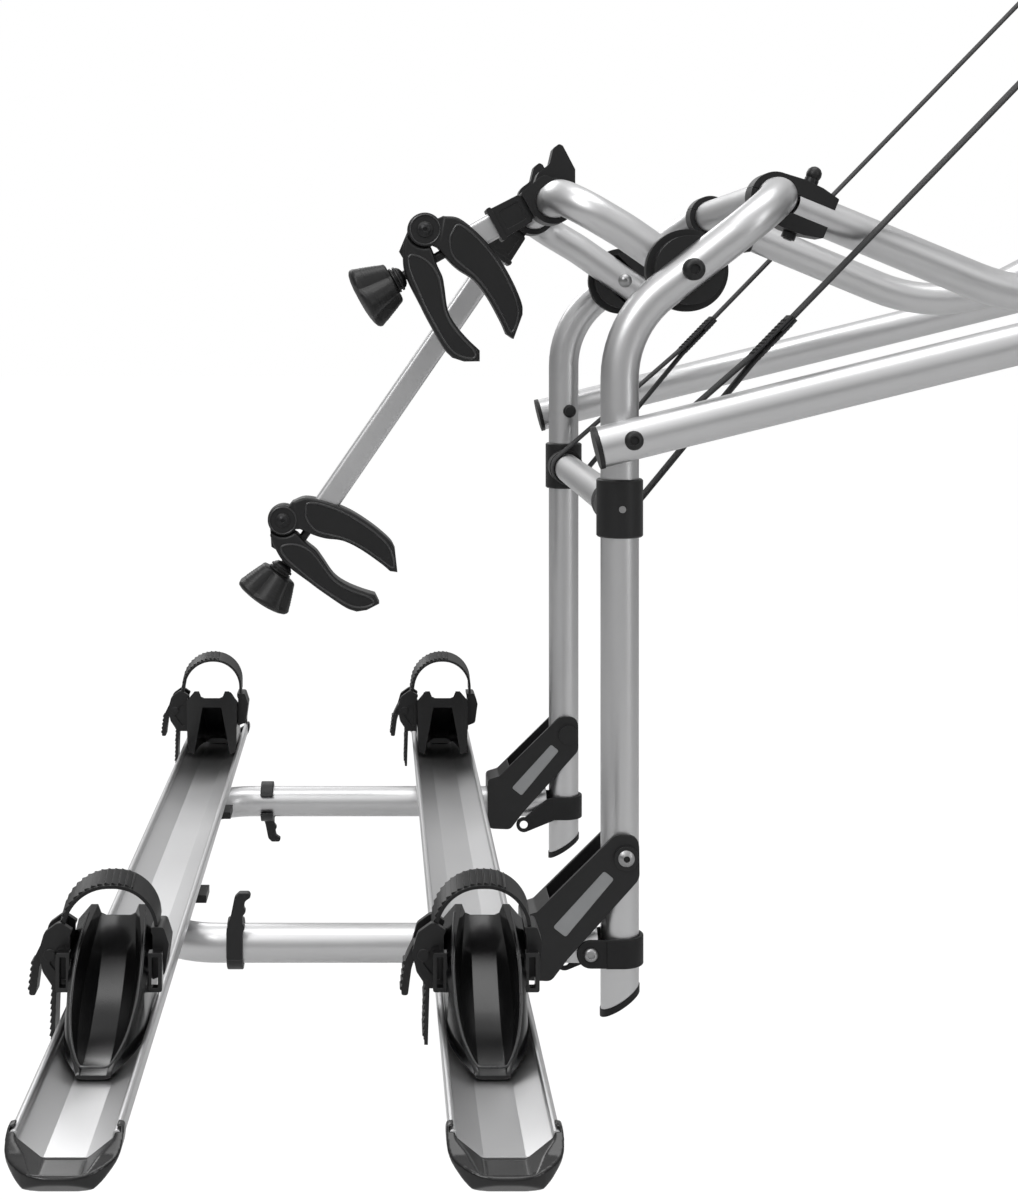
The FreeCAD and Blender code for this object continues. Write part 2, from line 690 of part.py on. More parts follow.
def lift_strap(y):
    """A strap from its sewn end up to the winding tube, and part of a turn round that tube."""
    start = at(leg_x, y, sleeve_height) + strap_along * (stitch_reach + 1)
    centre = at(winding_x, y, winding_height)
    outward = Vector(-strap_along.z, 0, strap_along.x)
    wrap = math.radians(strap_wrap)

    def on_drum(turn, r):
        return centre + outward * (r * math.cos(turn)) + strap_along * (r * math.sin(turn))

    edges = []
    for r in (strap_seat_r + strap_thickness / 2, strap_seat_r - strap_thickness / 2):
        run_start = start + outward * (r - strap_seat_r)
        edges.append(Part.makeLine(run_start, on_drum(0, r)))
        edges.append(Part.Arc(on_drum(0, r), on_drum(wrap / 2, r), on_drum(wrap, r)).toShape())
    edges.append(Part.makeLine(edges[0].Vertexes[0].Point, edges[2].Vertexes[0].Point))
    outer_end = on_drum(wrap, strap_seat_r + strap_thickness / 2)
    edges.append(Part.makeLine(outer_end, on_drum(wrap, strap_seat_r - strap_thickness / 2)))
    face = Part.Face(Part.Wire(Part.__sortEdges__(edges)))
    face.translate(Vector(0, -strap_width / 2, 0))
    return face.extrude(Vector(0, strap_width, 0))


def strap_loops():
    """Each strap's loop round the cross tube, sewn together at its upper end."""
    start = at(leg_x, 0, sleeve_height)
    along = strap_along
    up = Vector(-along.z, 0, along.x)
    gap = cross_r + body_gap
    loops = []
    for y in (-strap_y, strap_y):
        outer_r = gap + strap_thickness
        tip = start + along * stitch_reach
        sides = []
        for r in (outer_r, gap):
            left = start + up * r
            right = start - up * r
            back = start - along * r
            lift = strap_thickness if r == outer_r else 0.3
            edges = [
                Part.Arc(left, back, right).toShape(),
                Part.makeLine(right, tip - up * lift),
                Part.makeLine(tip - up * lift, tip + up * lift),
                Part.makeLine(tip + up * lift, left),
            ]
            face = Part.Face(Part.Wire(edges))
            face.translate(Vector(0, y - strap_width / 2 - (0 if r == outer_r else 1), 0))
            sides.append(face.extrude(Vector(0, strap_width + (0 if r == outer_r else 2), 0)))
        loops.append(sides[0].cut(sides[1]))
    return loops


def arm_bracket(tilt):
    """Moulded bracket that hugs the hoop's top tube and holds a bike arm.

    In its own frame the hoop's axis is Y and the arm leaves along +X. Tilt is the turn about Y that
    puts it in place, and the finger fin stands upright whatever the tilt.
    """
    half = bracket_width / 2
    ring_r = hoop_r + bracket_wall
    box_half = bike_arm_r + socket_wall
    z = -arm_offset
    neck_x = ring_r + 1.5
    saddle = outline(
        [(-16, 0), (-6, -ring_r - 5), (neck_x, z - box_half), (neck_x, z + box_half - 3), (-12, ring_r - 3.5)],
        [0, 8, 2, 2, 2], -half, half,
    )
    waist = outline(
        [(neck_x - 4, z - box_half + 2), (neck_x + 4, z - box_half + 2), (neck_x + 4, z + box_half - 2),
         (neck_x - 4, z + box_half - 2)],
        0, -box_half + 2, box_half - 2,
    )
    end_x = bracket_reach - 5
    sleeve = outline(
        [(neck_x + 2, z - box_half), (end_x, z - box_half - 1), (end_x, z + box_half + 1), (neck_x + 2, z + box_half)],
        [2.5, 0, 0, 2.5], -box_half - 1, box_half + 1,
    )
    sleeve = sleeve.cut(panel_recess(neck_x + 6, end_x - 4, z, box_half - 5, box_half + 1, 1.0))
    flange = outline(
        [(end_x, z - 17), (bracket_reach, z - 17), (bracket_reach, z + 17), (end_x, z + 17)], 1.8, -17, 17,
    )
    fin = outline([turned_back(x, h, tilt) for x, h in (
        (-21, 4), (-14, 27), (-3, 35), (0.5, 50), (6, 54), (9.5, 52), (21, 30), (21, 4))],
        [0, 12, 6, 3, 2.5, 2, 3, 0], -fin_width / 2, fin_width / 2,
    )
    bore = across(0, 0, -half - 1, half + 1, hoop_r + body_gap)
    socket = rod(Vector(bike_arm_start, 0, z) - Vector(fit_gap, 0, 0), Vector(bracket_reach + 5, 0, z), bike_arm_r + fit_gap)
    ring = across(0, 0, -half, half, ring_r)
    return join([ring, saddle, waist, sleeve, flange, fin]).cut(bore).cut(socket)


def turned_back(x, height, tilt):
    """XZ in a frame turned about Y by tilt, of a point that is level and upright outside it."""
    turn = math.radians(tilt)
    return x * math.cos(turn) - height * math.sin(turn), x * math.sin(turn) + height * math.cos(turn)


def panel_recess(x_from, x_to, z, half_height, face, depth):
    """Cutters for a sunk panel on both Y faces of a block."""
    points = [(x_from, z - half_height), (x_to, z - half_height), (x_to, z + half_height), (x_from, z + half_height)]
    return join([
        outline(points, 1.5, face - depth, face + 1),
        outline(points, 1.5, -face - 1, -face + depth),
    ])


def bike_arm(length):
    start = Vector(bike_arm_start, 0, -arm_offset)
    end = Vector(length, 0, -arm_offset)
    return rod(start, end, bike_arm_r).cut(rod(start - Vector(1, 0, 0), end + Vector(1, 0, 0), bike_arm_r - 1.8))


def curve_plate(outer, inner, half):
    """A plate between two smooth edges that share no end point, from -half to half across."""
    top = Part.BSplineCurve()
    top.interpolate([Vector(x, -half, z) for x, z in outer])
    low = Part.BSplineCurve()
    low.interpolate([Vector(x, -half, z) for x, z in inner])
    edges = [
        top.toShape(),
        Part.makeLine(Vector(outer[-1][0], -half, outer[-1][1]), Vector(inner[0][0], -half, inner[0][1])),
        low.toShape(),
        Part.makeLine(Vector(inner[-1][0], -half, inner[-1][1]), Vector(outer[0][0], -half, outer[0][1])),
    ]
    return Part.Face(Part.Wire(edges)).extrude(Vector(0, 2 * half, 0))


def fixed_jaw():
    """The claw's jaw on the arm. The mouth opens along +X, and the arm stands in the socket along +Z."""
    half = claw_width / 2
    tip = claw_length
    outer = [(-8, 15), (16, 38), (58, 47), (104, 40), (tip - 1, 20)]
    inner = [(tip, 9), (104, 15), (62, 24.5), (24, 14), (8, 4)]
    jaw = curve_plate(outer, inner, half)
    boss = across(0, 0, -half, -half / 3, claw_boss_r)
    boss = join([boss, across(0, 0, half / 3, half, claw_boss_r)])
    clear = across(0, 0, -half / 3, half / 3, claw_boss_r + body_gap)
    socket = rod(Vector(knob_rod_at, 0, 20), Vector(knob_rod_at, 0, claw_socket_top), bike_arm_r + 3.5)
    bore = rod(Vector(knob_rod_at, 0, claw_arm_seat - 0.2), Vector(knob_rod_at, 0, 200), bike_arm_r + fit_gap)
    pin = across(0, 0, -half - 1, half + 1, claw_screw_r + pin_play)
    nut = rod(Vector(knob_rod_at, 0, 0), Vector(knob_rod_at, 0, 33), knob_rod_r + pin_play)
    return join([jaw.cut(clear), boss, socket]).cut(bore).cut(pin).cut(nut)


def moving_jaw():
    half = claw_width / 2
    inner = [(2, -8), (24, -14.5), (54, -21), (96, -19.5), (117, -11.5)]
    outer = [(claw_length, -17), (92, -36), (knob_rod_at + 20, -knob_seat - 0.5), (2, -22), (-9, -14)]
    jaw = curve_plate(inner, outer, half)
    tongue = across(0, 0, -half / 3 + body_gap, half / 3 - body_gap, claw_boss_r)
    bosses = across(0, 0, -half - 1, half + 1, claw_boss_r + body_gap).cut(
        across(0, 0, -half / 3 + body_gap, half / 3 - body_gap, claw_boss_r + 2)
    )
    seat = box(knob_rod_at - 15, knob_rod_at + 15, -half + 2, half - 2, -knob_seat, -knob_seat + 14)
    over = box(knob_rod_at - 16, knob_rod_at + 16, -half - 1, half + 1, -knob_seat - 12, -knob_seat)
    slot = box(
        knob_rod_at - knob_rod_r - 8, knob_rod_at + knob_rod_r + 12,
        -knob_rod_r - body_gap, knob_rod_r + body_gap, -knob_seat - 1, 0,
    )
    pin = across(0, 0, -half - 1, half + 1, claw_screw_r + pin_play)
    return join([jaw.cut(bosses).cut(over), tongue, seat.cut(bosses)]).cut(slot).cut(pin)


def claw_pivot_screw():
    half = claw_width / 2
    return join([
        button_bolt(0, 0, -half - 0.2, half + 0.2, claw_screw_r, 8.0, 4.0),
        across(0, 0, half + 0.3, half + 4, 7.0),
        across(0, 0, 0, half + 1, claw_screw_r),
    ])


def claw_washer():
    """Domed washer that slides on the knob's rod and bears on the moving jaw."""
    top = -knob_seat - knob_play
    centre = Vector(knob_rod_at, 0, top - washer_dome_r)
    dome = Part.makeSphere(washer_dome_r, centre)
    keep = rod(Vector(knob_rod_at, 0, top - washer_thickness), Vector(knob_rod_at, 0, top + 1), washer_dome_r - 1)
    hole = rod(Vector(knob_rod_at, 0, top - 20), Vector(knob_rod_at, 0, top + 5), knob_rod_r + pin_play)
    return dome.common(keep).cut(hole)


def claw_knob():
    """Lobed knob with its threaded rod: the rod is cut short of the thread, which is left plain."""
    top = -knob_seat - knob_play - washer_thickness - 0.1
    base = Vector(knob_rod_at, 0, top - knob_height)
    body = Part.makeCone(knob_r - 3, knob_r, knob_height * 0.75, base, Vector(0, 0, 1))
    collar = Part.makeCone(knob_r, 13, knob_height * 0.25, base + Vector(0, 0, knob_height * 0.75), Vector(0, 0, 1))
    body = join([body, collar])
    flutes = []
    for i in range(knob_lobes):
        turn = 2 * math.pi * i / knob_lobes
        out = Vector(math.cos(turn), math.sin(turn), 0) * (knob_r + 6)
        flutes.append(Part.makeCylinder(11, knob_height * 0.9, base + out - Vector(0, 0, 1)))
    body = body.cut(flutes)
    shaft = rod(Vector(knob_rod_at, 0, top - 5), Vector(knob_rod_at, 0, 26), knob_rod_r)
    return join([body, shaft])


def arm_set(prefix, y, arm_pitch, length):
    """Export a bike arm, its bracket on the hoop's top tube, and the claw at its end."""
    origin = Vector(hoop_top_x, y, level(hoop_top_height))
    tilt = 180 - arm_pitch
    bracket = placed(arm_bracket(tilt), *origin, tilt)
    export(f"{prefix}_arm_bracket", bracket)
    export(f"{prefix}_arm_tube", placed(bike_arm(length), *origin, tilt))
    turn = math.radians(arm_pitch)
    along = Vector(-math.cos(turn), 0, -math.sin(turn))
    aside = Vector(-math.sin(turn), 0, math.cos(turn))
    pivot = origin + along * (length + claw_arm_seat) + aside * (arm_offset + knob_rod_at)
    pieces = {
        "fixed_jaw": fixed_jaw(),
        "moving_jaw": moving_jaw(),
        "jaw_screw": claw_pivot_screw(),
        "thrust_washer": claw_washer(),
        "knob": claw_knob(),
    }
    for name, piece in pieces.items():
        export(f"{prefix}_claw_{name}", placed(piece, *pivot, 90 - arm_pitch))


def platform_tube():
    """U-shaped tube that carries the two wheel rails."""
    side = [
        (platform_end_x, 0),
        (outer_rail_x, platform_corner_r),
    ]
    near = [(Vector(x, -leg_half_span, frame_axis), r) for x, r in side]
    far = [(Vector(x, leg_half_span, frame_axis), r) for x, r in reversed(side)]
    points, radii = zip(*(near + far))
    return tube(list(points), list(radii), frame_r)


def brace(y):
    """Moulded channel that straddles a leg at the pivot and holds the platform tube."""
    px, pz = platform_pivot_x, level(platform_pivot_height)
    inner = frame_r + body_gap
    outer = inner + brace_cheek
    cheek_points = [
        (px + 13, pz + 21), (px - 12, pz + 24), (px - 88, pz - 42), (px - 90, pz - 92),
        (px - 66, pz - 97), (px - 40, pz - 70), (px + 14, pz - 10),
    ]
    cheek_radii = [14, 14, 6, 7, 8, 18, 14]
    body = outline(cheek_points, cheek_radii, y - outer, y + outer)
    channel = outline(
        [(px + 60, pz + 60), (px - 30, pz + 60), (px - 74, pz - 40), (px - 60, pz - 60), (px + 60, pz - 60)],
        [0, 0, 4, 4, 0], y - inner, y + inner,
    )
    tube_bore = rod(
        Vector(px - 140, y, frame_axis), Vector(px + 60, y, frame_axis), frame_r + fit_gap
    )
    leg_way = rod(Vector(leg_x, y, pz - 150), Vector(leg_x, y, pz + 150), frame_r + body_gap)
    pin = across(px, pz, y - 40, y + 40, platform_bolt_r + pin_play)
    pocket_points = [(px - 21, pz - 11), (px - 31, pz - 2), (px - 72, pz - 44), (px - 58, pz - 55)]
    shape = body.cut(channel).cut(tube_bore).cut(leg_way).cut(pin)
    for side in (-1, 1):
        face = y + side * outer
        low, high = sorted((face + side, face - side * 1.2))
        shape = shape.cut(outline(pocket_points, 2.5, low, high))
    return shape


def brace_inlays(y):
    px, pz = platform_pivot_x, level(platform_pivot_height)
    outer = frame_r + body_gap + brace_cheek
    points = [(px - 21.8, pz - 11.4), (px - 30.7, pz - 3.1), (px - 71.2, pz - 44), (px - 58.2, pz - 54)]
    inlays = []
    for side in (-1, 1):
        face = y + side * outer
        low, high = sorted((face - side * 1.1, face - side * 0.2))
        inlays.append(outline(points, 2.2, low, high))
    return inlays


def platform_bolts():
    bolts = []
    outer = frame_r + body_gap + brace_cheek
    for sign in (-1, 1):
        y = sign * leg_half_span
        bolts.append(
            button_bolt(platform_pivot_x, level(platform_pivot_height), y + sign * (outer + 0.1),
                        y - sign * (outer + 0.1), platform_bolt_r, 9.5, 5.0)
        )
    return bolts


def retaining_strap(y):
    """Rubber band round the leg that holds the platform down, with its finger tab inside."""
    outward = math.copysign(1, y)
    z = frame_axis - strap_ring_drop
    low, high = z - strap_ring_height / 2, z + strap_ring_height / 2
    ring_in = frame_r + body_gap
    ring_out = ring_in + strap_ring_wall
    half_ring = rod(Vector(leg_x, y, low), Vector(leg_x, y, high), ring_out)
    half_ring = half_ring.common(box(leg_x, leg_x + 40, y - 40, y + 40, low, high))
    end_r = strap_ring_height / 2 - 0.5
    arm_low, arm_high = sorted((y + outward * ring_in, y + outward * ring_out))
    arm_end = across(strap_bolt_x, z, arm_low, arm_high, end_r)
    arm = box(strap_bolt_x, leg_x, arm_low, arm_high, z - end_r, z + end_r)
    tab_low, tab_high = sorted((y - outward * ring_in, y - outward * ring_out))
    tab_z = frame_axis - strap_tab_drop
    tab = outline(
        [(leg_x, high), (leg_x - 18, high - 1), (strap_tab_x - 2, tab_z + 8.5), (strap_tab_x - 9, tab_z),
         (strap_tab_x - 2, tab_z - 8.5), (leg_x, low)],
        [0, 6, 5, 4, 5, 0], tab_low, tab_high,
    )
    bore = rod(Vector(leg_x, y, low - 1), Vector(leg_x, y, high + 1), ring_in)
    eye = across(strap_tab_x, tab_z, tab_low - 1, tab_high + 1, 4.5)
    screw = across(strap_bolt_x, z, arm_low - 1, arm_high + 1, 3)
    tube_way = rod(Vector(strap_tab_x - 60, y, frame_axis), Vector(platform_end_x + 1, y, frame_axis), frame_r + 0.1)
    return join([half_ring, arm_end, arm, tab]).cut(bore).cut(eye).cut(screw).cut(tube_way)


def rail_profile():
    w, t = rail_half_width, rail_wall
    band, top = rail_band_half, rail_band_height
    right = [
        (rail_slot_half, 0), (24, 0), (w - 1.5, 9), (w, rail_height),
        (w - 5.5, rail_height), (w - 5.5, rail_height - 4), (w - t, rail_height - 7), (w - t - 1.5, 11),
        (23, t), (band, t + 0.4), (band - 0.8, top), (0, top),
    ]
    left = [(-x, z) for x, z in reversed(right[:-1])]
    slot = [(-rail_slot_half, t), (-band + t, t), (-band + t, top - t), (band - t, top - t), (band - t, t),
            (rail_slot_half, t)]
    points = right + left + slot
    radii = [0, 5, 6, 2.4, 2.4, 0, 0, 5, 6, 0, 1.0, 0, 1.0, 0, 6, 5, 0, 0, 2.4, 2.4, 6, 5, 0] + [0] * 6
    return points, radii


def wheel_rail(x):
    points, radii = rail_profile()
    placed_points = [(x + px, rail_base + pz) for px, pz in points]
    return outline(placed_points, radii, rail_near_y, rail_near_y + rail_length)


def rail_end_cap(x, end):
    """Moulded cap over a rail's end, scooped on its inner edge."""
    y_end = rail_near_y if end < 0 else rail_near_y + rail_length
    tip = y_end + end * 5
    inner = y_end - end * end_cap_length
    low, high = sorted((tip, inner))
    w = rail_half_width + end_cap_wall
    profile = [(-w, rail_height + 2), (-w, 8), (-25, -end_cap_wall), (25, -end_cap_wall), (w, 8), (w, rail_height + 2)]
    block = outline([(x + px, rail_base + pz) for px, pz in profile], [4, 7, 5, 5, 7, 4], low, high)
    tip_r = 16
    corner_edges = [
        e for e in block.Edges
        if abs(e.BoundBox.YLength) < tiny and abs(e.BoundBox.YMax - tip) < tiny
    ]
    block = block.makeFillet(3.5, corner_edges) if corner_edges else block
    room = rail_room(x)
    trough = box(x - w + 9, x + w - 9, low - 1, high + 1, rail_base + rail_band_height + 3, rail_base + rail_height + 5)
    scoop_centre = Vector(x, inner - end * 4, rail_base - 20)
    scoop = Part.makeCylinder(w - 9.5, 80, scoop_centre)
    keep_inside = box(x - w, x + w, *sorted((y_end - end * (tip_r - 6), tip)), rail_base + 3, rail_base + rail_height)
    return block.cut(room).cut(scoop).cut(trough.cut(keep_inside))


def rail_room(x):
    """The space that a rail takes in its end cap: its section grown by the fit's clearance."""
    points, radii = rail_profile()
    corners = [Vector(x + px, rail_near_y, rail_base + pz) for px, pz in points]
    face = Part.Face(rounded_wire(corners, radii, closed=True))
    grown = face.makeOffset2D(fit_gap, join=2)
    return Part.Face(grown.OuterWire).extrude(Vector(0, rail_length, 0))


def rail_saddle_x(x, y):
    """Saddle that clamps a rail down on a side tube, which runs along X."""
    r = frame_r + fit_gap + saddle_wall
    half = saddle_width / 2
    bar = rod(Vector(x - half, y, frame_axis), Vector(x + half, y, frame_axis), r)
    ears = box(x - half, x + half, y - r - 16, y + r + 16, rail_base - 7, rail_base - fit_gap)
    bore = rod(Vector(x - half - 1, y, frame_axis), Vector(x + half + 1, y, frame_axis), frame_r + fit_gap)
    above = box(x - 60, x + 60, y - 60, y + 60, rail_base - fit_gap, rail_base + 60)
    return join([bar, ears]).cut(bore).cut(above)


def rail_saddle_y(x, y):
    """The same saddle on the tube across, which runs along Y."""
    turned = rail_saddle_x(0, 0)
    turned.rotate(Vector(0, 0, 0), Vector(0, 0, 1), 90)
    turned.translate(Vector(x, y, 0))
    return turned


def rail_saddles():
    return [
        rail_saddle_x(inner_rail_x, -leg_half_span),
        rail_saddle_x(inner_rail_x, leg_half_span),
        rail_saddle_y(outer_rail_x, -saddle_y),
        rail_saddle_y(outer_rail_x, saddle_y),
    ]


def tray_section(y, half_width, height, floor):
    """Closed U section of a tray at one station: outer walls and a flat floor."""
    w, h = half_width, height
    t = tray_wall
    points = [
        (-w * 0.62, 0), (w * 0.62, 0), (w * 0.95, min(14, h * 0.45)), (w, h),
        (w - t, h), (w * 0.95 - t, min(16, h * 0.6)), (w * 0.5, floor), (-w * 0.5, floor),
        (-w * 0.95 + t, min(16, h * 0.6)), (-w + t, h), (-w, h), (-w * 0.95, min(14, h * 0.45)),
    ]
    corners = [Vector(px, y, pz) for px, pz in points]
    return Part.makePolygon(corners + corners[:1])


def wheel_tray():
    """Scoop for a wheel, in its own frame: low tip at Y = 0, tall end at Y = tray_length."""
    stations = [
        (0, 13.0, 8.0), (22, 21.5, 20.0), (50, 26.5, 38.0), (86, tray_half_width - 1, 62.0),
        (tray_length, tray_half_width, tray_height),
    ]
    sections = [tray_section(y, w, h, 5.0) for y, w, h in stations]
    scoop = Part.makeLoft(sections, True, True)
    base = Part.Face(Part.makePolygon([
        Vector(-13, -4, 0), Vector(13, -4, 0), Vector(25, 16, 0), Vector(25, tray_length, 0),
        Vector(-25, tray_length, 0), Vector(-25, 16, 0), Vector(-13, -4, 0),
    ])).extrude(Vector(0, 0, 4.0))
    back = outline(
        [(-tray_half_width + 1, 3), (tray_half_width - 1, 3), (tray_half_width - 1, tray_height - 4),
         (17, tray_height), (9, tray_height - tray_notch), (-9, tray_height - tray_notch), (-17, tray_height),
         (-tray_half_width + 1, tray_height - 4)],
        [3, 3, 8, 6, 6, 6, 6, 8], tray_length - 4.5, tray_length,
    )
    notch = outline(
        [(-12, tray_height + 30), (-9, tray_height - tray_notch), (9, tray_height - tray_notch), (12, tray_height + 30)],
        [0, 5, 5, 0], tray_length - 20, tray_length + 1,
    )
    loops = []
    for side in (-1, 1):
        x_in, x_out = side * (tray_half_width - 2), side * (tray_half_width + 13)
        low, high = sorted((x_in, x_out))
        frame = box(low, high, tray_length - 54, tray_length - 46, tray_loop_lift, 44)
        window_low, window_high = sorted((side * (tray_half_width + 1), side * (tray_half_width + 9.5)))
        window = box(window_low, window_high, tray_length - 60, tray_length - 40, tray_loop_lift + 4, 40)
        loops.append(frame.cut(window))
    inside = outline([(-tray_half_width + tray_wall, 12), (tray_half_width - tray_wall, 12),
                      (tray_half_width - tray_wall, 120), (-tray_half_width + tray_wall, 120)],
                     0, tray_length - 60, tray_length - 4.5)
    loops = [piece.cut(inside) for piece in loops]
    screw_hole = rod(Vector(0, tray_length - 40, -5), Vector(0, tray_length - 40, 10), 3.2)
    return join([scoop, base] + loops + [back]).cut(notch).cut(screw_hole)


def tray_anchor():
    """Block on the tray's +X side that holds the strap's end."""
    x = tray_half_width
    y = tray_length - tray_strap_at
    block = outline([(x - 0.5, 24), (x + 12, 28), (x + 12, 56), (x + 7, 66), (x - 0.5, 66)], [0, 4, 4, 3, 0], y - 11, y + 11)
    return block


def tray_buckle():
    """Ratchet frame on the tray's -X side."""
    x = -tray_half_width
    y = tray_length - tray_strap_at
    body = outline([(x + 0.5, 22), (x - 16, 26), (x - 20, 44), (x - 20, 60), (x - 6, 70), (x + 0.5, 66)],
                   [0, 5, 6, 4, 4, 0], y - 12, y + 12)
    strap_way = box(x - 9, x - 3.6, y - tray_strap_width / 2 - 0.6, y + tray_strap_width / 2 + 0.6, 10, 90)
    pin_x = x - lever_pin_x
    lever_way = box(x - 40, pin_x + lever_head_r + 0.6, y - 8.4, y + 8.4, lever_pin_height - lever_head_r - 1, 90)
    pin = across(pin_x, lever_pin_height, y - 20, y + 20, 2.5 + pin_play)
    return body.cut(strap_way).cut(lever_way).cut(pin)


def tray_strap():
    """Toothed strap in an arch over the tray, from the anchor to the buckle, with its tail."""
    half = tray_half_width
    y = tray_length - tray_strap_at
    points = [
        Vector(-half - 6.3, y, 6), Vector(-half - 6.3, y, 96), Vector(-12, y, tray_height + 52),
        Vector(half + 3, y, tray_height + 46), Vector(half + 4.5, y, 66.3),
    ]
    radii = [0, 26, 30, 30, 0]
    wire = rounded_wire(points, radii)
    t, w = tray_strap_thickness / 2, tray_strap_width / 2
    start = points[0]
    corners = [start + Vector(-t, -w, 0), start + Vector(t, -w, 0), start + Vector(t, w, 0), start + Vector(-t, w, 0)]
    section = Part.makePolygon(corners + corners[:1])
    return wire.makePipeShell([section], True, False)


def tray_lever():
    """Release lever of the ratchet: its pin and a curved finger plate."""
    x = -tray_half_width
    y = tray_length - tray_strap_at
    plate = outline(
        [(x - 15, 59.4), (x - 21, 60.5), (x - 30, 40), (x - 34, 8), (x - 29, 9), (x - 24.5, 34), (x - 21.5, 48.6), (x - 15, 48.6)],
        [0, 4, 20, 1.5, 1.5, 20, 2, 0], y - 8, y + 8,
    )
    pin_x = x - lever_pin_x
    head = across(pin_x, lever_pin_height, y - 8, y + 8, lever_head_r)
    pin = across(pin_x, lever_pin_height, y - 12, y + 12, 2.5)
    return join([plate, head, pin])


def tray_pieces(name, rail_x, side):
    """Export one tray with its strap and lever. Side is -1 at the near end and 1 at the far end."""
    if side < 0:
        tip_y = rail_near_y + near_tray_tip
    else:
        tip_y = rail_near_y + rail_length - far_tray_tip
    z = rail_base + rail_band_height + tray_lift
    groups = {
        f"{name}_tray": [wheel_tray(), tray_anchor(), tray_buckle()],
        f"{name}_tray_strap": [tray_strap()],
        f"{name}_tray_lever": [tray_lever()],
    }
    for node, shapes in groups.items():
        moved = []
        for shape in shapes:
            copy = shape
            if side > 0:
                copy = copy.mirror(Vector(0, 0, 0), Vector(0, 1, 0))
            copy.translate(Vector(rail_x, tip_y, z))
            moved.append(copy)
        export(node, moved)


def platform_clip(y, turn):
    """Clip round the platform tube with a hook that stands out from it."""
    r_in = frame_r + body_gap
    r_out = r_in + clip_wall
    half = clip_width / 2
    ring = rod(Vector(-half, 0, 0), Vector(half, 0, 0), r_out)
    stem = box(-half, half, -r_out, -r_out + 9, 0, clip_reach - 4)
    tab = box(-half, half, -r_out, -r_out + 15, clip_reach - 9, clip_reach)
    shape = join([ring, stem, tab])
    bore = rod(Vector(-half - 1, 0, 0), Vector(half + 1, 0, 0), r_in)
    mouth = box(-half - 1, half + 1, 2, 40, -9, 9)
    shape = shape.cut(bore).cut(mouth)
    shape.rotate(Vector(0, 0, 0), Vector(1, 0, 0), turn)
    shape.translate(Vector(clip_x, y, frame_axis))
    return shape


def build():
    export("main_frame", main_frame())
    export("leg_end_caps", [leg_cap(-leg_half_span), leg_cap(leg_half_span)])
    export("tee_sleeves", [tee_sleeve(-leg_half_span), tee_sleeve(leg_half_span)])
    export("cross_tube", cross_tube())
    fasteners = [tee_screw(-leg_half_span), tee_screw(leg_half_span)]
    export("frame_screws", fasteners + [hinge_cap(-leg_half_span), hinge_cap(leg_half_span)])
    export("outer_hinge_discs", [outer_disc(-1), outer_disc(1)])
    export("inner_hinge_discs", [inner_disc(-1), inner_disc(1)])
    export("hoop_tube", hoop_tube())
    export("hinge_bolts", [hinge_bolt(-1), hinge_bolt(1)])
    export("lower_arm_tubes", [lower_arm(-lower_arm_y), lower_arm(lower_arm_y)])
    export("lower_arm_caps", lower_arm_caps())
    export("lower_arm_bolts", lower_arm_bolts())
    export("upper_arm_tubes", [upper_arm(-upper_arm_y), upper_arm(upper_arm_y)])
    export("top_clamps", top_clamps(clamp_half(1)) + top_clamps(clamp_half(-1)))
    export("upper_arm_bolts", upper_arm_bolts())
    ends = [(sign * upright_half_span, end) for sign in (-1, 1) for end in (-1, 1)]
    export("wall_uprights", [upright(-upright_half_span), upright(upright_half_span)])
    export("wall_feet", [wall_foot(y, end) for y, end in ends])
    export("foot_screws", [foot_screw(y, end) for y, end in ends])
    export("arm_brackets", arm_brackets())
    export("winding_bearings", [winding_bearing(-1), winding_bearing(1), winch_housing()])
    export("winding_tube", [winding_tube(), worm_wheel()])
    export("winch_worm", winch_worm())
    export("lift_straps", [lift_strap(-strap_y), lift_strap(strap_y)])
    export("strap_loops", strap_loops())
    arm_set("short", short_arm_y, short_arm_pitch, short_arm_length)
    arm_set("long", long_arm_y, long_arm_pitch, long_arm_length)
    export("platform_tube", platform_tube())
    export("platform_braces", [brace(-leg_half_span), brace(leg_half_span)])
    export("brace_inlays", brace_inlays(-leg_half_span) + brace_inlays(leg_half_span))
    export("platform_bolts", platform_bolts())
    export("retaining_straps", [retaining_strap(-leg_half_span), retaining_strap(leg_half_span)])
    export("wheel_rails", [wheel_rail(inner_rail_x), wheel_rail(outer_rail_x)])
    caps = [rail_end_cap(x, end) for x in (inner_rail_x, outer_rail_x) for end in (-1, 1)]
    export("rail_end_caps", caps)
    export("rail_saddles", rail_saddles())
    for rail, x in (("inner", inner_rail_x), ("outer", outer_rail_x)):
        tray_pieces(f"{rail}_near", x, -1)
        tray_pieces(f"{rail}_far", x, 1)
    export("near_clip", platform_clip(-leg_half_span, 0))
    export("far_clip", platform_clip(leg_half_span, 180))


build()
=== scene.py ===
import bmesh
import bpy
import math
from mathutils import Matrix, Vector


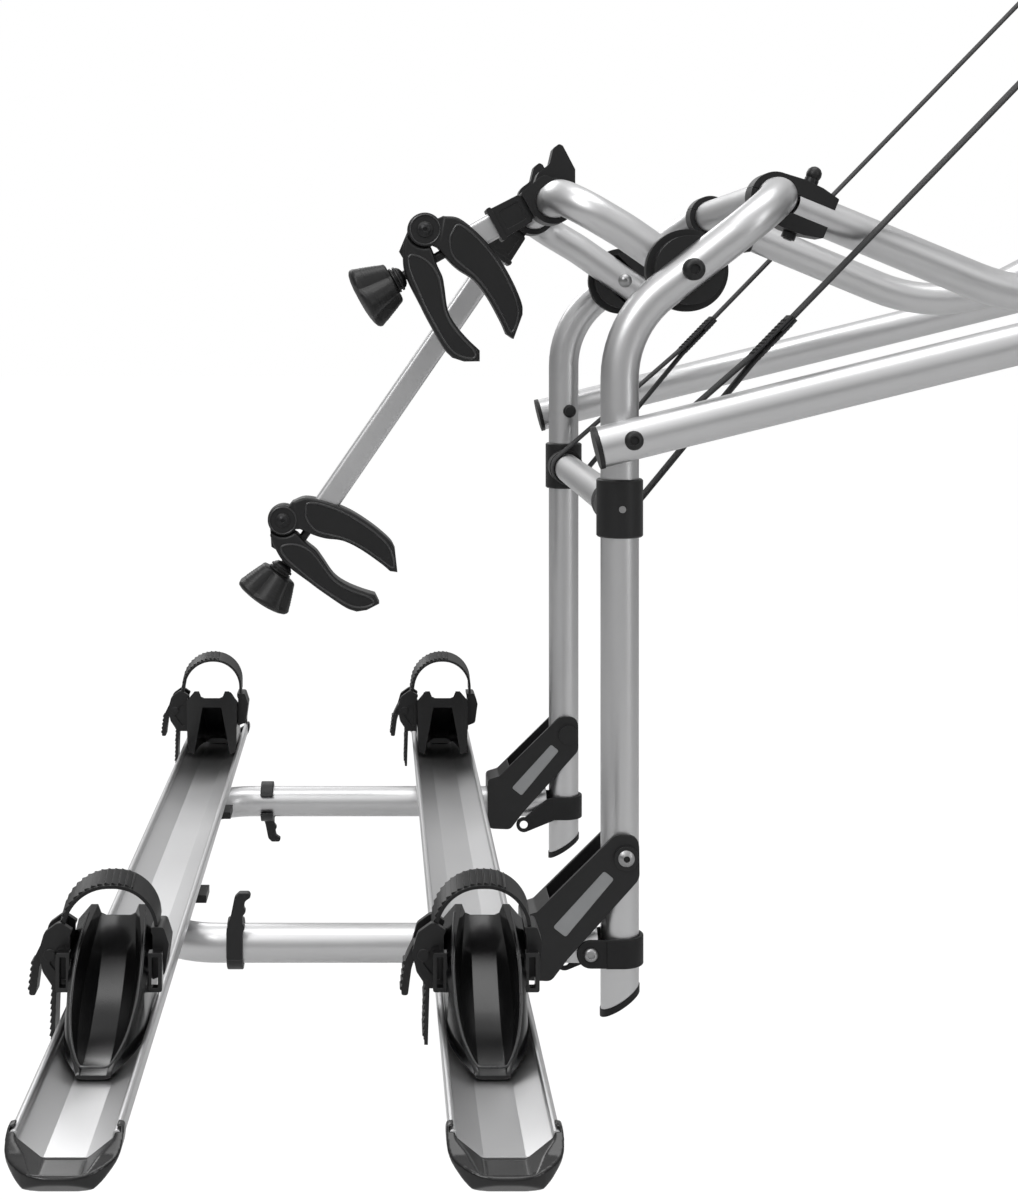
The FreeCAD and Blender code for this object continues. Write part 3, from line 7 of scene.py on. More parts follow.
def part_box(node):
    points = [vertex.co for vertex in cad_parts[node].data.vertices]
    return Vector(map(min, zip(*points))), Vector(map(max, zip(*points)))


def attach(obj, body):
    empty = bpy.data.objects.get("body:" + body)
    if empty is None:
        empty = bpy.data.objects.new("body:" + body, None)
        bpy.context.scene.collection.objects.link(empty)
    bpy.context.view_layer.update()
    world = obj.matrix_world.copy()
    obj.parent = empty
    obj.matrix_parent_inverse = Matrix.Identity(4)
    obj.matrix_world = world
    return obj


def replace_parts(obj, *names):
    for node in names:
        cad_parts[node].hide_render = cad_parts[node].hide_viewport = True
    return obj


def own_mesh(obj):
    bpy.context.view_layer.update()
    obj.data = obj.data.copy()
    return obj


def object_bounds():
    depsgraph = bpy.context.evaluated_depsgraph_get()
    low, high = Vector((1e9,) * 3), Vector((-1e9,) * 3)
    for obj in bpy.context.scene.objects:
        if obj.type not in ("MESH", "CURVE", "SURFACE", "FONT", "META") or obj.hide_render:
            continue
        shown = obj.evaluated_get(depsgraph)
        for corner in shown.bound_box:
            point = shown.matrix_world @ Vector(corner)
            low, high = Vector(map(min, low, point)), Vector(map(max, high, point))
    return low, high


# Looks of a lift for two bicycles on a motorhome's rear wall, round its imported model.
# Metres, in the model's own frame: X runs to the vehicle, Y across it, Z up.

bpy.ops.wm.read_factory_settings(use_empty=True)
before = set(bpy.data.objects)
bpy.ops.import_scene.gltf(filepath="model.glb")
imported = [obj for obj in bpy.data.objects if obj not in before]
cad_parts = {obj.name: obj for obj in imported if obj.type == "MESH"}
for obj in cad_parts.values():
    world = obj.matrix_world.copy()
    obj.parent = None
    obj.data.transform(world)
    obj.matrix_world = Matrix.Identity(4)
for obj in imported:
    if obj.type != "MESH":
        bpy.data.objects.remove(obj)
cadLow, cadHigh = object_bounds()
print("frame loaded:", len(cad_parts), "nodes")

scene = bpy.context.scene
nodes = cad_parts


# Shader node groups

def newGroup(name, inputs, outputs):
    # an empty group with named values going in; an output called Normal is a vector, the others are numbers
    group = bpy.data.node_groups.new(name, "ShaderNodeTree")
    for label, value in inputs.items():
        kind = "NodeSocketVector" if isinstance(value, tuple) else "NodeSocketFloat"
        socket = group.interface.new_socket(name=label, in_out="INPUT", socket_type=kind)
        socket.default_value = value
    for label in outputs:
        kind = "NodeSocketVector" if label == "Normal" else "NodeSocketFloat"
        group.interface.new_socket(name=label, in_out="OUTPUT", socket_type=kind)
    return group, group.nodes.new("NodeGroupInput").outputs, group.nodes.new("NodeGroupOutput").inputs


def feed(tree, socket, value):
    # links another socket to this one, or sets a plain value on it
    if isinstance(value, bpy.types.NodeSocket):
        tree.links.new(value, socket)
    else:
        socket.default_value = value


def addNode(tree, kind, values=None, **sockets):
    node = tree.nodes.new(kind)
    for name, value in (values or {}).items():
        setattr(node, name, value)
    for name, value in sockets.items():
        feed(tree, node.inputs[name.replace("_", " ")], value)
    return node


def blendColours(tree, factor, first, second, mode="MIX"):
    mix = addNode(tree, "ShaderNodeMix", {"data_type": "RGBA", "blend_type": mode})
    for index, value in ((0, factor), (6, first), (7, second)):
        feed(tree, mix.inputs[index], value)
    return mix.outputs[2]


def calc(tree, operation, *values, clamp=False):
    node = addNode(tree, "ShaderNodeMath", {"operation": operation, "use_clamp": clamp})
    for index, value in enumerate(values):
        feed(tree, node.inputs[index], value)
    return node.outputs[0]


def noise(tree, space, **sockets):
    # noise over the piece's own metres (Object) or over its UV map (UV)
    coord = tree.nodes.new("ShaderNodeTexCoord")
    return addNode(tree, "ShaderNodeTexNoise", Vector=coord.outputs[space], **sockets).outputs[0]


def grainGroup():
    # fine grain of a moulded or blasted surface: height for a bump, and a slow variation
    group, given, result = newGroup("fineGrain", dict(Scale=900.0, Patches=14.0), ["Height", "Variation"])
    feed(group, result["Height"], noise(group, "Object", Scale=given["Scale"], Detail=3.0, Roughness=0.6))
    slow = noise(group, "Object", Scale=given["Patches"], Detail=4.0, Roughness=0.55)
    feed(group, result["Variation"], slow)
    return group


edgeGain = 5.0  # how soon a bend of the normal counts as a full edge


def edgeGroup():
    # rounded normal at sharp edges, and a mask of those edges broken up by noise
    group, given, result = newGroup(
        "softEdges", dict(Radius=0.0006, Amount=0.5, Scale=80.0), ["Normal", "Mask"])
    bevel = addNode(group, "ShaderNodeBevel", {"samples": 4}, Radius=given["Radius"]).outputs[0]
    dot = addNode(group, "ShaderNodeVectorMath", {"operation": "DOT_PRODUCT"})
    feed(group, dot.inputs[0], bevel)
    feed(group, dot.inputs[1], group.nodes.new("ShaderNodeNewGeometry").outputs["Normal"])
    bend = calc(group, "SUBTRACT", 1.0, dot.outputs["Value"])
    edge = calc(group, "MULTIPLY", bend, edgeGain, clamp=True)
    specks = noise(group, "Object", Scale=given["Scale"], Detail=5.0, Roughness=0.7)
    mask = calc(group, "MULTIPLY", calc(group, "MULTIPLY", edge, specks), given["Amount"], clamp=True)
    feed(group, result["Normal"], bevel)
    feed(group, result["Mask"], mask)
    return group


def dustGroup():
    # a little dust on faces that look up
    group, given, result = newGroup("lightDust", dict(Amount=0.15, Scale=30.0), ["Mask"])
    normal = group.nodes.new("ShaderNodeNewGeometry").outputs["Normal"]
    up = addNode(group, "ShaderNodeSeparateXYZ", Vector=normal).outputs["Z"]
    specks = noise(group, "Object", Scale=given["Scale"], Detail=6.0, Roughness=0.75)
    dust = calc(group, "MULTIPLY", up, specks, clamp=True)
    feed(group, result["Mask"], calc(group, "MULTIPLY", dust, given["Amount"], clamp=True))
    return group


def drawnGroup():
    # fine lines that an extrusion's die leaves along one axis
    group, given, result = newGroup("drawnLines", dict(Stretch=(900.0, 3.0, 900.0)), ["Height"])
    scaled = addNode(group, "ShaderNodeVectorMath", {"operation": "MULTIPLY"})
    feed(group, scaled.inputs[0], group.nodes.new("ShaderNodeTexCoord").outputs["Object"])
    feed(group, scaled.inputs[1], given["Stretch"])
    lines = addNode(group, "ShaderNodeTexNoise", Vector=scaled.outputs[0], Scale=1.0, Detail=2.0)
    feed(group, result["Height"], lines.outputs[0])
    return group


def weaveGroup():
    # webbing: ribs across the band and threads along it, from the piece's UV map in millimetres
    group, given, result = newGroup("webWeave", dict(Pitch=1.6), ["Height", "Variation"])
    place = group.nodes.new("ShaderNodeTexCoord").outputs["UV"]
    parts = addNode(group, "ShaderNodeSeparateXYZ", Vector=place).outputs
    rate = calc(group, "DIVIDE", 2 * math.pi, given["Pitch"])
    along, side = [calc(group, "SINE", calc(group, "MULTIPLY", parts[axis], rate)) for axis in "XY"]
    feed(group, result["Height"], calc(group, "ABSOLUTE", calc(group, "MULTIPLY", along, side)))
    feed(group, result["Variation"], noise(group, "UV", Scale=0.35, Detail=4.0))
    return group


groups = dict(grain=grainGroup(), edges=edgeGroup(), dust=dustGroup(), drawn=drawnGroup(), weave=weaveGroup())


def useGroup(tree, name, **values):
    return addNode(tree, "ShaderNodeGroup", {"node_tree": groups[name]}, **values).outputs


def newMaterial(name):
    material = bpy.data.materials.new(name)
    material.use_nodes = True
    return material, material.node_tree, material.node_tree.nodes["Principled BSDF"]


def addRoughness(tree, shader, value, look):
    low, high = look["roughLow"], look["roughHigh"]
    rough = addNode(tree, "ShaderNodeMapRange", Value=value, To_Min=low, To_Max=high).outputs[0]
    feed(tree, shader.inputs["Roughness"], rough)


def addBump(tree, shader, height, distance, normal=None):
    bump = addNode(tree, "ShaderNodeBump", Strength=1.0, Distance=distance, Height=height)
    if normal is not None:
        feed(tree, bump.inputs["Normal"], normal)
    feed(tree, shader.inputs["Normal"], bump.outputs[0])


dustColour = (0.30, 0.29, 0.28, 1)
drawnShare = 0.4  # of the grain that stays beside an extrusion's lines


def solidMaterial(name, look):
    # metal or moulding: patchy base, edges lightened by wear and by painted highlight, grain, and dust or
    # drawn lines if its look has them
    material, tree, shader = newMaterial(name)
    grain = useGroup(tree, "grain", Scale=look["grainScale"], Patches=look["patches"])
    edges = useGroup(tree, "edges", Radius=look["edge"], Amount=look["wearAndHighlightAmount"])
    colour = blendColours(tree, grain["Variation"], (*look["dark"], 1), (*look["light"], 1))
    # edges lighter in colour: partly wear, partly a painted highlight along the rims of the black mouldings
    colour = blendColours(tree, edges["Mask"], colour, (*look["edgeWearAndHighlight"], 1))
    if "dust" in look:
        colour = blendColours(tree, useGroup(tree, "dust", Amount=look["dust"])["Mask"], colour, dustColour)
    feed(tree, shader.inputs["Base Color"], colour)
    addRoughness(tree, shader, grain["Variation"], look)
    shader.inputs["Metallic"].default_value = look.get("metallic", 0.0)
    shader.inputs["Specular IOR Level"].default_value = look.get("shine", 0.5)
    height = grain["Height"]
    if "drawn" in look:
        lines = useGroup(tree, "drawn", Stretch=look["drawn"])["Height"]
        height = calc(tree, "ADD", calc(tree, "MULTIPLY", height, drawnShare), lines)
    addBump(tree, shader, height, look["bump"], edges["Normal"])
    return material


def webMaterial(name, look):
    material, tree, shader = newMaterial(name)
    weave = useGroup(tree, "weave", Pitch=look["pitch"])
    # colour darker down in the weave's grooves, which is painted shade, mixed with patchy tone from noise
    shade = calc(tree, "MULTIPLY", weave["Height"], look["ribShare"])
    shade = calc(tree, "ADD", shade, calc(tree, "MULTIPLY", weave["Variation"], 1 - look["ribShare"]))
    colour = blendColours(tree, shade, (*look["dark"], 1), (*look["light"], 1))
    feed(tree, shader.inputs["Base Color"], colour)
    addRoughness(tree, shader, weave["Variation"], look)
    addBump(tree, shader, weave["Height"], look["bump"])
    return material


def grey(level, cast=0.0):
    return (level, level, level + cast)


metalLooks = {
    "tube": dict(light=grey(0.62, 0.005), dark=grey(0.54, 0.005), edgeWearAndHighlight=grey(0.66), wearAndHighlightAmount=0.3, metallic=1.0,
                 roughLow=0.33, roughHigh=0.41, grainScale=900.0, patches=7.0, bump=0.00001, edge=0.0004),
    "arm": dict(light=grey(0.60, 0.005), dark=grey(0.53, 0.005), edgeWearAndHighlight=grey(0.66), wearAndHighlightAmount=0.2, metallic=1.0,
                roughLow=0.36, roughHigh=0.43, grainScale=500.0, patches=7.0, bump=0.000001, edge=0.0003),
    "rail": dict(light=grey(0.63, 0.005), dark=grey(0.55, 0.005), edgeWearAndHighlight=grey(0.7), wearAndHighlightAmount=0.4, metallic=1.0,
                 roughLow=0.30, roughHigh=0.39, grainScale=800.0, patches=6.0, bump=0.00002, edge=0.0006,
                 drawn=(500.0, 2.0, 500.0)),
    "steel": dict(light=grey(0.40), dark=grey(0.28, 0.005), edgeWearAndHighlight=grey(0.6), wearAndHighlightAmount=0.5, metallic=1.0,
                  roughLow=0.30, roughHigh=0.45, grainScale=900.0, patches=60.0, bump=0.00002, edge=0.0004),
    "darkSteel": dict(light=grey(0.045, 0.001), dark=grey(0.02, 0.001), edgeWearAndHighlight=grey(0.2), wearAndHighlightAmount=0.5,
                      metallic=0.9, roughLow=0.30, roughHigh=0.42, grainScale=900.0, patches=60.0,
                      bump=0.00002, edge=0.0005),
}
plasticLooks = {
    "black": dict(light=grey(0.0075, 0.0005), dark=grey(0.0035, 0.0003), edgeWearAndHighlight=grey(0.05), wearAndHighlightAmount=0.9,
                  shine=0.42, dust=0.02, roughLow=0.38, roughHigh=0.50, grainScale=1100.0, patches=22.0,
                  bump=0.00004, edge=0.0007),
    "gloss": dict(light=grey(0.0045, 0.0005), dark=grey(0.0025, 0.0002), edgeWearAndHighlight=grey(0.03), wearAndHighlightAmount=0.3, shine=0.5,
                  dust=0.01, roughLow=0.16, roughHigh=0.26, grainScale=700.0, patches=18.0, bump=0.00001,
                  edge=0.0008),
    "inlay": dict(light=(0.30, 0.305, 0.31), dark=(0.23, 0.235, 0.24), edgeWearAndHighlight=grey(0.45), wearAndHighlightAmount=0.3, shine=0.5,
                  dust=0.01, roughLow=0.42, roughHigh=0.55, grainScale=1300.0, patches=40.0, bump=0.00005,
                  edge=0.0004),
    # beads a little lighter than the black moulding: a painted highlight along raised borders and rims
    "paintedHighlightBead": dict(light=grey(0.035, 0.001), dark=grey(0.02, 0.001), edgeWearAndHighlight=grey(0.08), wearAndHighlightAmount=0.3, shine=0.6,
                 dust=0.01, roughLow=0.22, roughHigh=0.32, grainScale=900.0, patches=20.0, bump=0.00001,
                 edge=0.0004),
    "rubber": dict(light=grey(0.009, 0.0005), dark=grey(0.004, 0.0004), edgeWearAndHighlight=grey(0.04), wearAndHighlightAmount=0.3, shine=0.3,
                   dust=0.02, roughLow=0.5, roughHigh=0.64, grainScale=1000.0, patches=25.0, bump=0.00005,
                   edge=0.0006),
}
webLook = dict(light=grey(0.05, 0.002), dark=grey(0.01, 0.0005), pitch=1.7, bump=0.0003, ribShare=0.55,
               roughLow=0.62, roughHigh=0.85)
materials = {name: solidMaterial(name + "Metal", look) for name, look in metalLooks.items()}
materials.update({name: solidMaterial(name + "Moulding", look) for name, look in plasticLooks.items()})
materials["web"] = webMaterial("strapWebbing", webLook)
print("materials made:", len(materials))

nodeLooks = {
    "tube": ["main_frame", "cross_tube", "hoop_tube", "lower_arm_tubes", "upper_arm_tubes", "wall_uprights",
             "winding_tube", "short_arm_tube", "long_arm_tube", "platform_tube"],
    "rail": ["wheel_rails"],
    "steel": ["hinge_bolts", "foot_screws", "winch_worm", "platform_bolts", "frame_screws"],
    "darkSteel": ["upper_arm_bolts", "short_claw_jaw_screw", "long_claw_jaw_screw"],
    "inlay": ["brace_inlays"],
    "rubber": ["retaining_straps", "leg_end_caps"],
    "gloss": [name for name in nodes if name.endswith("_tray")],
    "web": ["lift_straps", "strap_loops"],
}
lookOfNode = {name: look for look, names in nodeLooks.items() for name in names}

for name, node in nodes.items():
    node.data.materials.clear()
    node.data.materials.append(materials[lookOfNode.get(name, "black")])
print("nodes dressed")


# Helpers for the scene's own pieces, whose sizes are in millimetres

sides = ((-1, "near"), (1, "far"))  # the photograph looks from the near side, along +Y


def mm(x, y, z):
    return Vector((x, y, z)) / 1000


def newObject(name, data):
    piece = bpy.data.objects.new(name, data)
    scene.collection.objects.link(piece)
    return piece


def newPiece(name, mesh, look, body, smoothAngle=40.0):
    mesh.name = name
    mesh.materials.clear()
    mesh.materials.append(materials[look])
    mesh.shade_smooth()
    mesh.set_sharp_from_angle(angle=math.radians(smoothAngle))
    piece = newObject(name, mesh)
    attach(piece, body)
    return piece


def finishedMesh(holder, *helpers):
    # the mesh that an object gives with its modifiers; the object and its helpers go
    bpy.context.view_layer.update()
    mesh = bpy.data.meshes.new_from_object(holder.evaluated_get(bpy.context.evaluated_depsgraph_get()))
    for piece in (holder, *helpers):
        bpy.data.objects.remove(piece)
    return mesh


def plateMesh(outlines, thickness, bevel, turn):
    # a plate with rounded edges between outlines in millimetres: the first is its rim, the rest are holes
    curve = bpy.data.curves.new("plate", "CURVE")
    curve.dimensions = "2D"
    curve.fill_mode = "BOTH"
    curve.extrude = (thickness / 2 - bevel) / 1000
    curve.bevel_depth = bevel / 1000
    curve.offset = -bevel / 1000
    curve.bevel_resolution = 2
    for points in outlines:
        spline = curve.splines.new("POLY")
        spline.points.add(len(points) - 1)
        for point, (x, y) in zip(spline.points, points):
            point.co = (x / 1000, y / 1000, 0, 1)
        spline.use_cyclic_u = True
    mesh = finishedMesh(newObject("plate", curve))
    mesh.transform(turn)
    return mesh


upright = Matrix.Rotation(math.radians(90), 4, "X")


def sidePlate(outlines, middle, thickness, bevel):
    # a plate that stands in the XZ plane, at a place across it
    return plateMesh(outlines, thickness, bevel, Matrix.Translation(mm(0, middle, 0)) @ upright)


def wireMesh(points, thickness, closed):
    # a thin round bead through points in metres
    curve = bpy.data.curves.new("wire", "CURVE")
    curve.dimensions = "3D"
    curve.bevel_depth = thickness / 2000
    curve.bevel_resolution = 2
    curve.resolution_u = 6
    spline = curve.splines.new("NURBS")
    spline.points.add(len(points) - 1)
    for point, place in zip(spline.points, points):
        point.co = (*place, 1)
    spline.use_cyclic_u = closed
    spline.use_endpoint_u = not closed
    spline.order_u = 3
    return finishedMesh(newObject("wire", curve))


def meshOf(verts, faces):
    mesh = bpy.data.meshes.new("mesh")
    mesh.from_pydata(verts, [], faces)
    return mesh


def joinMeshes(meshes):
    verts, faces = [], []
    for mesh in meshes:
        base = len(verts)
        verts += [vert.co.copy() for vert in mesh.vertices]
        faces += [[base + index for index in polygon.vertices] for polygon in mesh.polygons]
    return meshOf(verts, faces)


def skinFaces(rows, count):
    # faces between rows of count points each, with a cap at both ends
    faces = []
    for row in range(rows - 1):
        for i in range(count):
            a, b = row * count + i, row * count + (i + 1) % count
            faces.append((a, b, b + count, a + count))
    return faces + [tuple(reversed(range(count))), tuple(range((rows - 1) * count, rows * count))]


def bandMesh(path, across, profileAt):
    # a band along a path in metres; profileAt gives, for a distance in millimetres, its section's corners
    verts, reach, travelled = [], [], 0.0
    count = len(profileAt(0.0))
    for index, point in enumerate(path):
        if index:
            travelled += (point - path[index - 1]).length * 1000
        before, after = path[max(index - 1, 0)], path[min(index + 1, len(path) - 1)]
        outward = across.cross((after - before).normalized()).normalized()
        reach.append(travelled)
        for wide, out in profileAt(travelled):
            verts.append(point + across * (wide / 1000) + outward * (out / 1000))
    mesh = meshOf(verts, skinFaces(len(path), count))
    layer = mesh.uv_layers.new(name="UVMap")
    for loop in mesh.loops:
        row, side = divmod(loop.vertex_index, count)
        layer.data[loop.index].uv = (reach[row], profileAt(reach[row])[side][0])
    return mesh


def flatBand(width, thickness):
    w, t = width / 2, thickness / 2
    half = [(-w, -t * 0.4), (-w + t, -t), (w - t, -t), (w, -t * 0.4)]
    return lambda distance: half + [(wide, -out) for wide, out in half[::-1]]


def arcPoints(x, z, r, fromTurn, toTurn, count):
    turns = [math.radians(fromTurn + (toTurn - fromTurn) * step / count) for step in range(count + 1)]
    return [(x + r * math.cos(turn), z + r * math.sin(turn)) for turn in turns]


def circle(x, z, r, count):
    return arcPoints(x, z, r, 0, 360 * (count - 1) / count, count - 1)


def between(start, end, count):
    # even steps from start, without end
    return [tuple(a + (b - a) * step / count for a, b in zip(start, end)) for step in range(count)]


def roundCorners(points, radii, steps=5):
    # a closed outline whose corners are turned into short curves
    rounded = []
    for index, (corner, r) in enumerate(zip(points, radii)):
        corner = Vector(corner)
        back = Vector(points[index - 1]) - corner
        ahead = Vector(points[(index + 1) % len(points)]) - corner
        if r == 0:
            rounded.append(tuple(corner))
            continue
        reach = min(r / math.tan(back.angle(ahead) / 2), back.length * 0.49, ahead.length * 0.49)
        start, end = corner + back.normalized() * reach, corner + ahead.normalized() * reach
        for step in range(steps + 1):
            t = step / steps
            rounded.append(tuple(start * (1 - t) ** 2 + corner * (2 * t * (1 - t)) + end * t ** 2))
    return rounded


def mirroredOutline(left, radii):
    # a rounded outline from its left half and that half's corner radii
    return roundCorners(left + [(-x, z) for x, z in reversed(left)], radii + radii[::-1])


def shifted(points, place):
    return [(x + place[0], z + place[1]) for x, z in points]


def smoothLine(points, steps=6):
    # an open line through the points
    line = [Vector(point) for point in points]
    line = [line[0] * 2 - line[1], *line, line[-1] * 2 - line[-2]]
    smooth = []
    for a, b, c, d in zip(line, line[1:], line[2:], line[3:]):
        for step in range(steps):
            t = step / steps
            smooth.append(tuple((b * 2 + (c - a) * t + (a * 2 - b * 5 + c * 4 - d) * t ** 2
                                 + (b * 3 - a - c * 3 + d) * t ** 3) / 2))
    return smooth + [tuple(line[-2])]


def ringsMesh(rings):
    # a closed skin over rings with the same number of points in metres, capped at both ends
    mesh = meshOf([point for ring in rings for point in ring], skinFaces(len(rings), len(rings[0])))
    shape = bmesh.new()
    shape.from_mesh(mesh)
    bmesh.ops.recalc_face_normals(shape, faces=shape.faces)
    shape.to_mesh(mesh)
    shape.free()
    return mesh


def slab(outline, low, high, axis="Y"):
    # a prism along an axis, between two places in millimetres
    at = "XYZ".index(axis)
    return ringsMesh([[mm(*pair[:at], w, *pair[at:]) for pair in outline] for w in sorted((low, high))])


def drum(x, z, r, low, high, count=40):
    return slab(circle(x, z, r, count), low, high)


def lathe(profile, count=48, lobes=None):
    # a turned form round Z from (r, z) points in millimetres; lobes scales r by turn and place on the line
    rings = []
    for index, (r, z) in enumerate(profile):
        ring = []
        for step in range(count):
            turn = 2 * math.pi * step / count
            reach = r * (lobes(turn, index / (len(profile) - 1)) if lobes else 1)
            ring.append(mm(reach * math.cos(turn), reach * math.sin(turn), z))
        rings.append(ring)
    return ringsMesh(rings)


def combine(mesh, others, operation):
    # the mesh with others cut from it, joined to it or kept as what they share
    holder, helpers = newObject("holder", mesh), []
    for other in others:
        helpers.append(newObject("helper", other))
        modifier = holder.modifiers.new("combine", "BOOLEAN")
        modifier.operation = operation
        modifier.solver = "EXACT"
        modifier.object = helpers[-1]
    return finishedMesh(holder, *helpers)


def cut(mesh, *others):
    return combine(mesh, others, "DIFFERENCE")


def soften(mesh, voxel, rounds):
    # the mesh in small even faces, with its edges rounded as on a moulding
    holder = newObject("holder", mesh)
    grid = holder.modifiers.new("grid", "REMESH")
    grid.mode = "VOXEL"
    grid.voxel_size = voxel / 1000
    smooth = holder.modifiers.new("smooth", "SMOOTH")
    smooth.factor = 0.5
    smooth.iterations = rounds
    return finishedMesh(holder)


def bendLine(points, radii, steps=12):
    # a route in millimetres with arcs at its corners, given in metres
    route = [mm(*points[0])]
    for before, corner, after, r in zip(points, points[1:], points[2:], radii):
        corner, back, ahead = mm(*corner), mm(*before) - mm(*corner), mm(*after) - mm(*corner)
        half = back.angle(ahead) / 2
        reach, span = r / 1000 / math.tan(half), r / 1000 / math.sin(half)
        centre = corner + (back.normalized() + ahead.normalized()).normalized() * span
        start, end = corner + back.normalized() * reach - centre, corner + ahead.normalized() * reach - centre
        for step in range(steps + 1):
            spoke = start.slerp(end, step / steps)
            route.append(centre + spoke * (r / 1000) / spoke.length)
    return route + [mm(*points[-1])]


def pipeMesh(route, r, count=48):
    # a closed round pipe along a route in metres
    side = (route[1] - route[0]).orthogonal().normalized()
    rings = []
    for index, point in enumerate(route):
        tangent = (route[min(index + 1, len(route) - 1)] - route[max(index - 1, 0)]).normalized()
        side = (side - tangent * side.dot(tangent)).normalized()
        other = tangent.cross(side)
        rings.append([point + (side * math.cos(turn) + other * math.sin(turn)) * (r / 1000)
                      for turn in [2 * math.pi * step / count for step in range(count)]])
    return ringsMesh(rings)


def moved(mesh, matrix):
    copy = mesh.copy()
    copy.transform(matrix)
    if matrix.determinant() < 0:
        copy.flip_normals()
    return copy


# Lifting straps, whose run shortens as the lift rises: here a straight run, turns on the winding tube, and
# sewn loops

strapLook = dict(places=(-202.0, 202.0), width=25.0, thickness=2.4, slope=45.85, foot=(-1088.0, -666.0),
                 run=(212.0, 1360.0), seat=23.4, turns=(0.0, 640.0), layer=0.2, keep=0.071)
slope = math.radians(strapLook["slope"])
alongStrap = Vector((math.cos(slope), 0, math.sin(slope)))
aboveStrap = Vector((-math.sin(slope), 0, math.cos(slope)))
strapFoot = mm(strapLook["foot"][0], 0, strapLook["foot"][1])


def onStrap(reach, lift, y):
    return strapFoot + alongStrap * (reach / 1000) + aboveStrap * (lift / 1000) + mm(0, y, 0)


def makeLiftStrap(look, y, name):
    section = flatBand(look["width"], look["thickness"])
    start, end = look["run"]
    path = [onStrap(start + (end - start) * step / 40, 0, y) for step in range(41)]
    run = newPiece(name + "Run", bandMesh(path, Vector((0, 1, 0)), section), "web", "straps")
    anchor = onStrap(end, 0, y)
    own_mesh(run)
    centre = anchor - aboveStrap * (look["seat"] / 1000)
    first, last = look["turns"]
    turns = []
    for step in range(101):
        turn = math.radians(first + (last - first) * step / 100)
        r = (look["seat"] - look["layer"] * turn / math.pi) / 1000
        turns.append(centre + aboveStrap * (r * math.cos(turn)) + alongStrap * (r * math.sin(turn)))
    newPiece(name + "Turns", bandMesh(turns, Vector((0, 1, 0)), section), "web", "winding_shaft")
    return run


for y, name in zip(strapLook["places"], ("nearStrap", "farStrap")):
    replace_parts(makeLiftStrap(strapLook, y, name), "lift_straps")

loopLook = dict(r=16.9, tip=228.0, sewn=176.0, stitchRows=(-9.0, -3.0, 3.0, 9.0), stitchPitch=4.0,
                stitchLength=2.6, stitchOut=0.15, stitchBow=0.25, seam=(4.0, 5.0), thread=0.7)


def makeStrapLoop(look, y, name):
    r, tip, sewn, lay = look["r"], look["tip"], look["sewn"], strapLook["thickness"]
    upper = between((tip, lay), (sewn, lay), 6) + between((sewn, lay), (0, r), 20)
    lower = [(u, -v) for u, v in reversed(upper)]
    path = [onStrap(u, v, y) for u, v in upper + arcPoints(0, 0, r, 90, 270, 18) + lower]
    section = flatBand(strapLook["width"], lay)
    piece = newPiece(name, bandMesh(path, Vector((0, -1, 0)), section), "web", "loops")
    threads, half = [], look["stitchLength"] / 2
    for wide in look["stitchRows"]:
        reach = sewn + look["seam"][0]
        while reach < tip - look["seam"][1]:
            for side in (-1, 1):
                lift = side * (lay * 1.5 + look["stitchOut"])
                middle = lift + side * look["stitchBow"]
                places = ((reach, lift), (reach + half, middle), (reach + 2 * half, lift))
                threads.append(wireMesh([onStrap(u, v, y + wide) for u, v in places], look["thread"], False))
            reach += look["stitchPitch"]
    newPiece(name + "Stitches", joinMeshes(threads), "rubber", "loops")
    return piece


for y, name in zip(strapLook["places"], ("nearLoop", "farLoop")):
    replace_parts(makeStrapLoop(loopLook, y, name), "strap_loops")
print("lifting straps made")

# Rubber straps that hold the platform's tube to the legs

rubberLook = dict(legX=-1088.0, legY=250.0, middle=-1045.7, height=25.0, inner=16.85, wall=3.5, boltX=-1115.0,
                  boltR=3.2, endR=12.0, tab=(-1134.0, -1063.2), tabR=8.3, eyeR=4.5, bead=1.4, bevel=0.8,
                  ringEnd=-14.0, armFrom=-12.0, shoulder=(-20.0, -1.5), eyeRing=1.6)


def makeRubberStrap(look, sign, name):
    x, y, z = look["legX"], sign * look["legY"], look["middle"]
    wall, bevel, rIn, half, end = look["wall"], look["bevel"], look["inner"], look["height"] / 2, look["endR"]
    back, start, shoulder = look["ringEnd"], x + look["armFrom"], look["shoulder"]
    ring = [(back, rIn), *arcPoints(0, 0, rIn, 90, -90, 24), (back, -rIn), (back, -rIn - wall),
            *arcPoints(0, 0, rIn + wall, -90, 90, 24), (back, rIn + wall)]
    band = plateMesh([shifted(ring, (x, y))], look["height"], bevel, Matrix.Translation(mm(0, 0, z)))
    arm = [(start, z + end), *arcPoints(look["boltX"], z, end, 90, 270, 16), (start, z - end)]
    screw = circle(look["boltX"], z, look["boltR"], 24)
    armMesh = sidePlate([arm, screw], y + sign * (rIn + wall / 2), wall, bevel)
    tabX, tabZ = look["tab"]
    tab = [(start, z + half), (x + shoulder[0], z + half + shoulder[1]),
           *arcPoints(tabX, tabZ, look["tabR"], 80, 290, 14), (start, z - half)]
    inY = y - sign * (rIn + wall / 2)
    tabMesh = sidePlate([tab, circle(tabX, tabZ, look["eyeR"], 24)], inY, wall, bevel)
    eye = circle(tabX, tabZ, look["eyeR"] + look["eyeRing"], 24)
    bead = wireMesh([mm(px, inY - sign * wall / 2, pz) for px, pz in eye], look["bead"], True)
    return newPiece(name, joinMeshes([band, armMesh, tabMesh, bead]), "rubber", "platform")


for sign, side in sides:
    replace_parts(makeRubberStrap(rubberLook, sign, side + "RubberStrap"), "retaining_straps")
print("rubber straps made")

# Wheel rails with their end caps

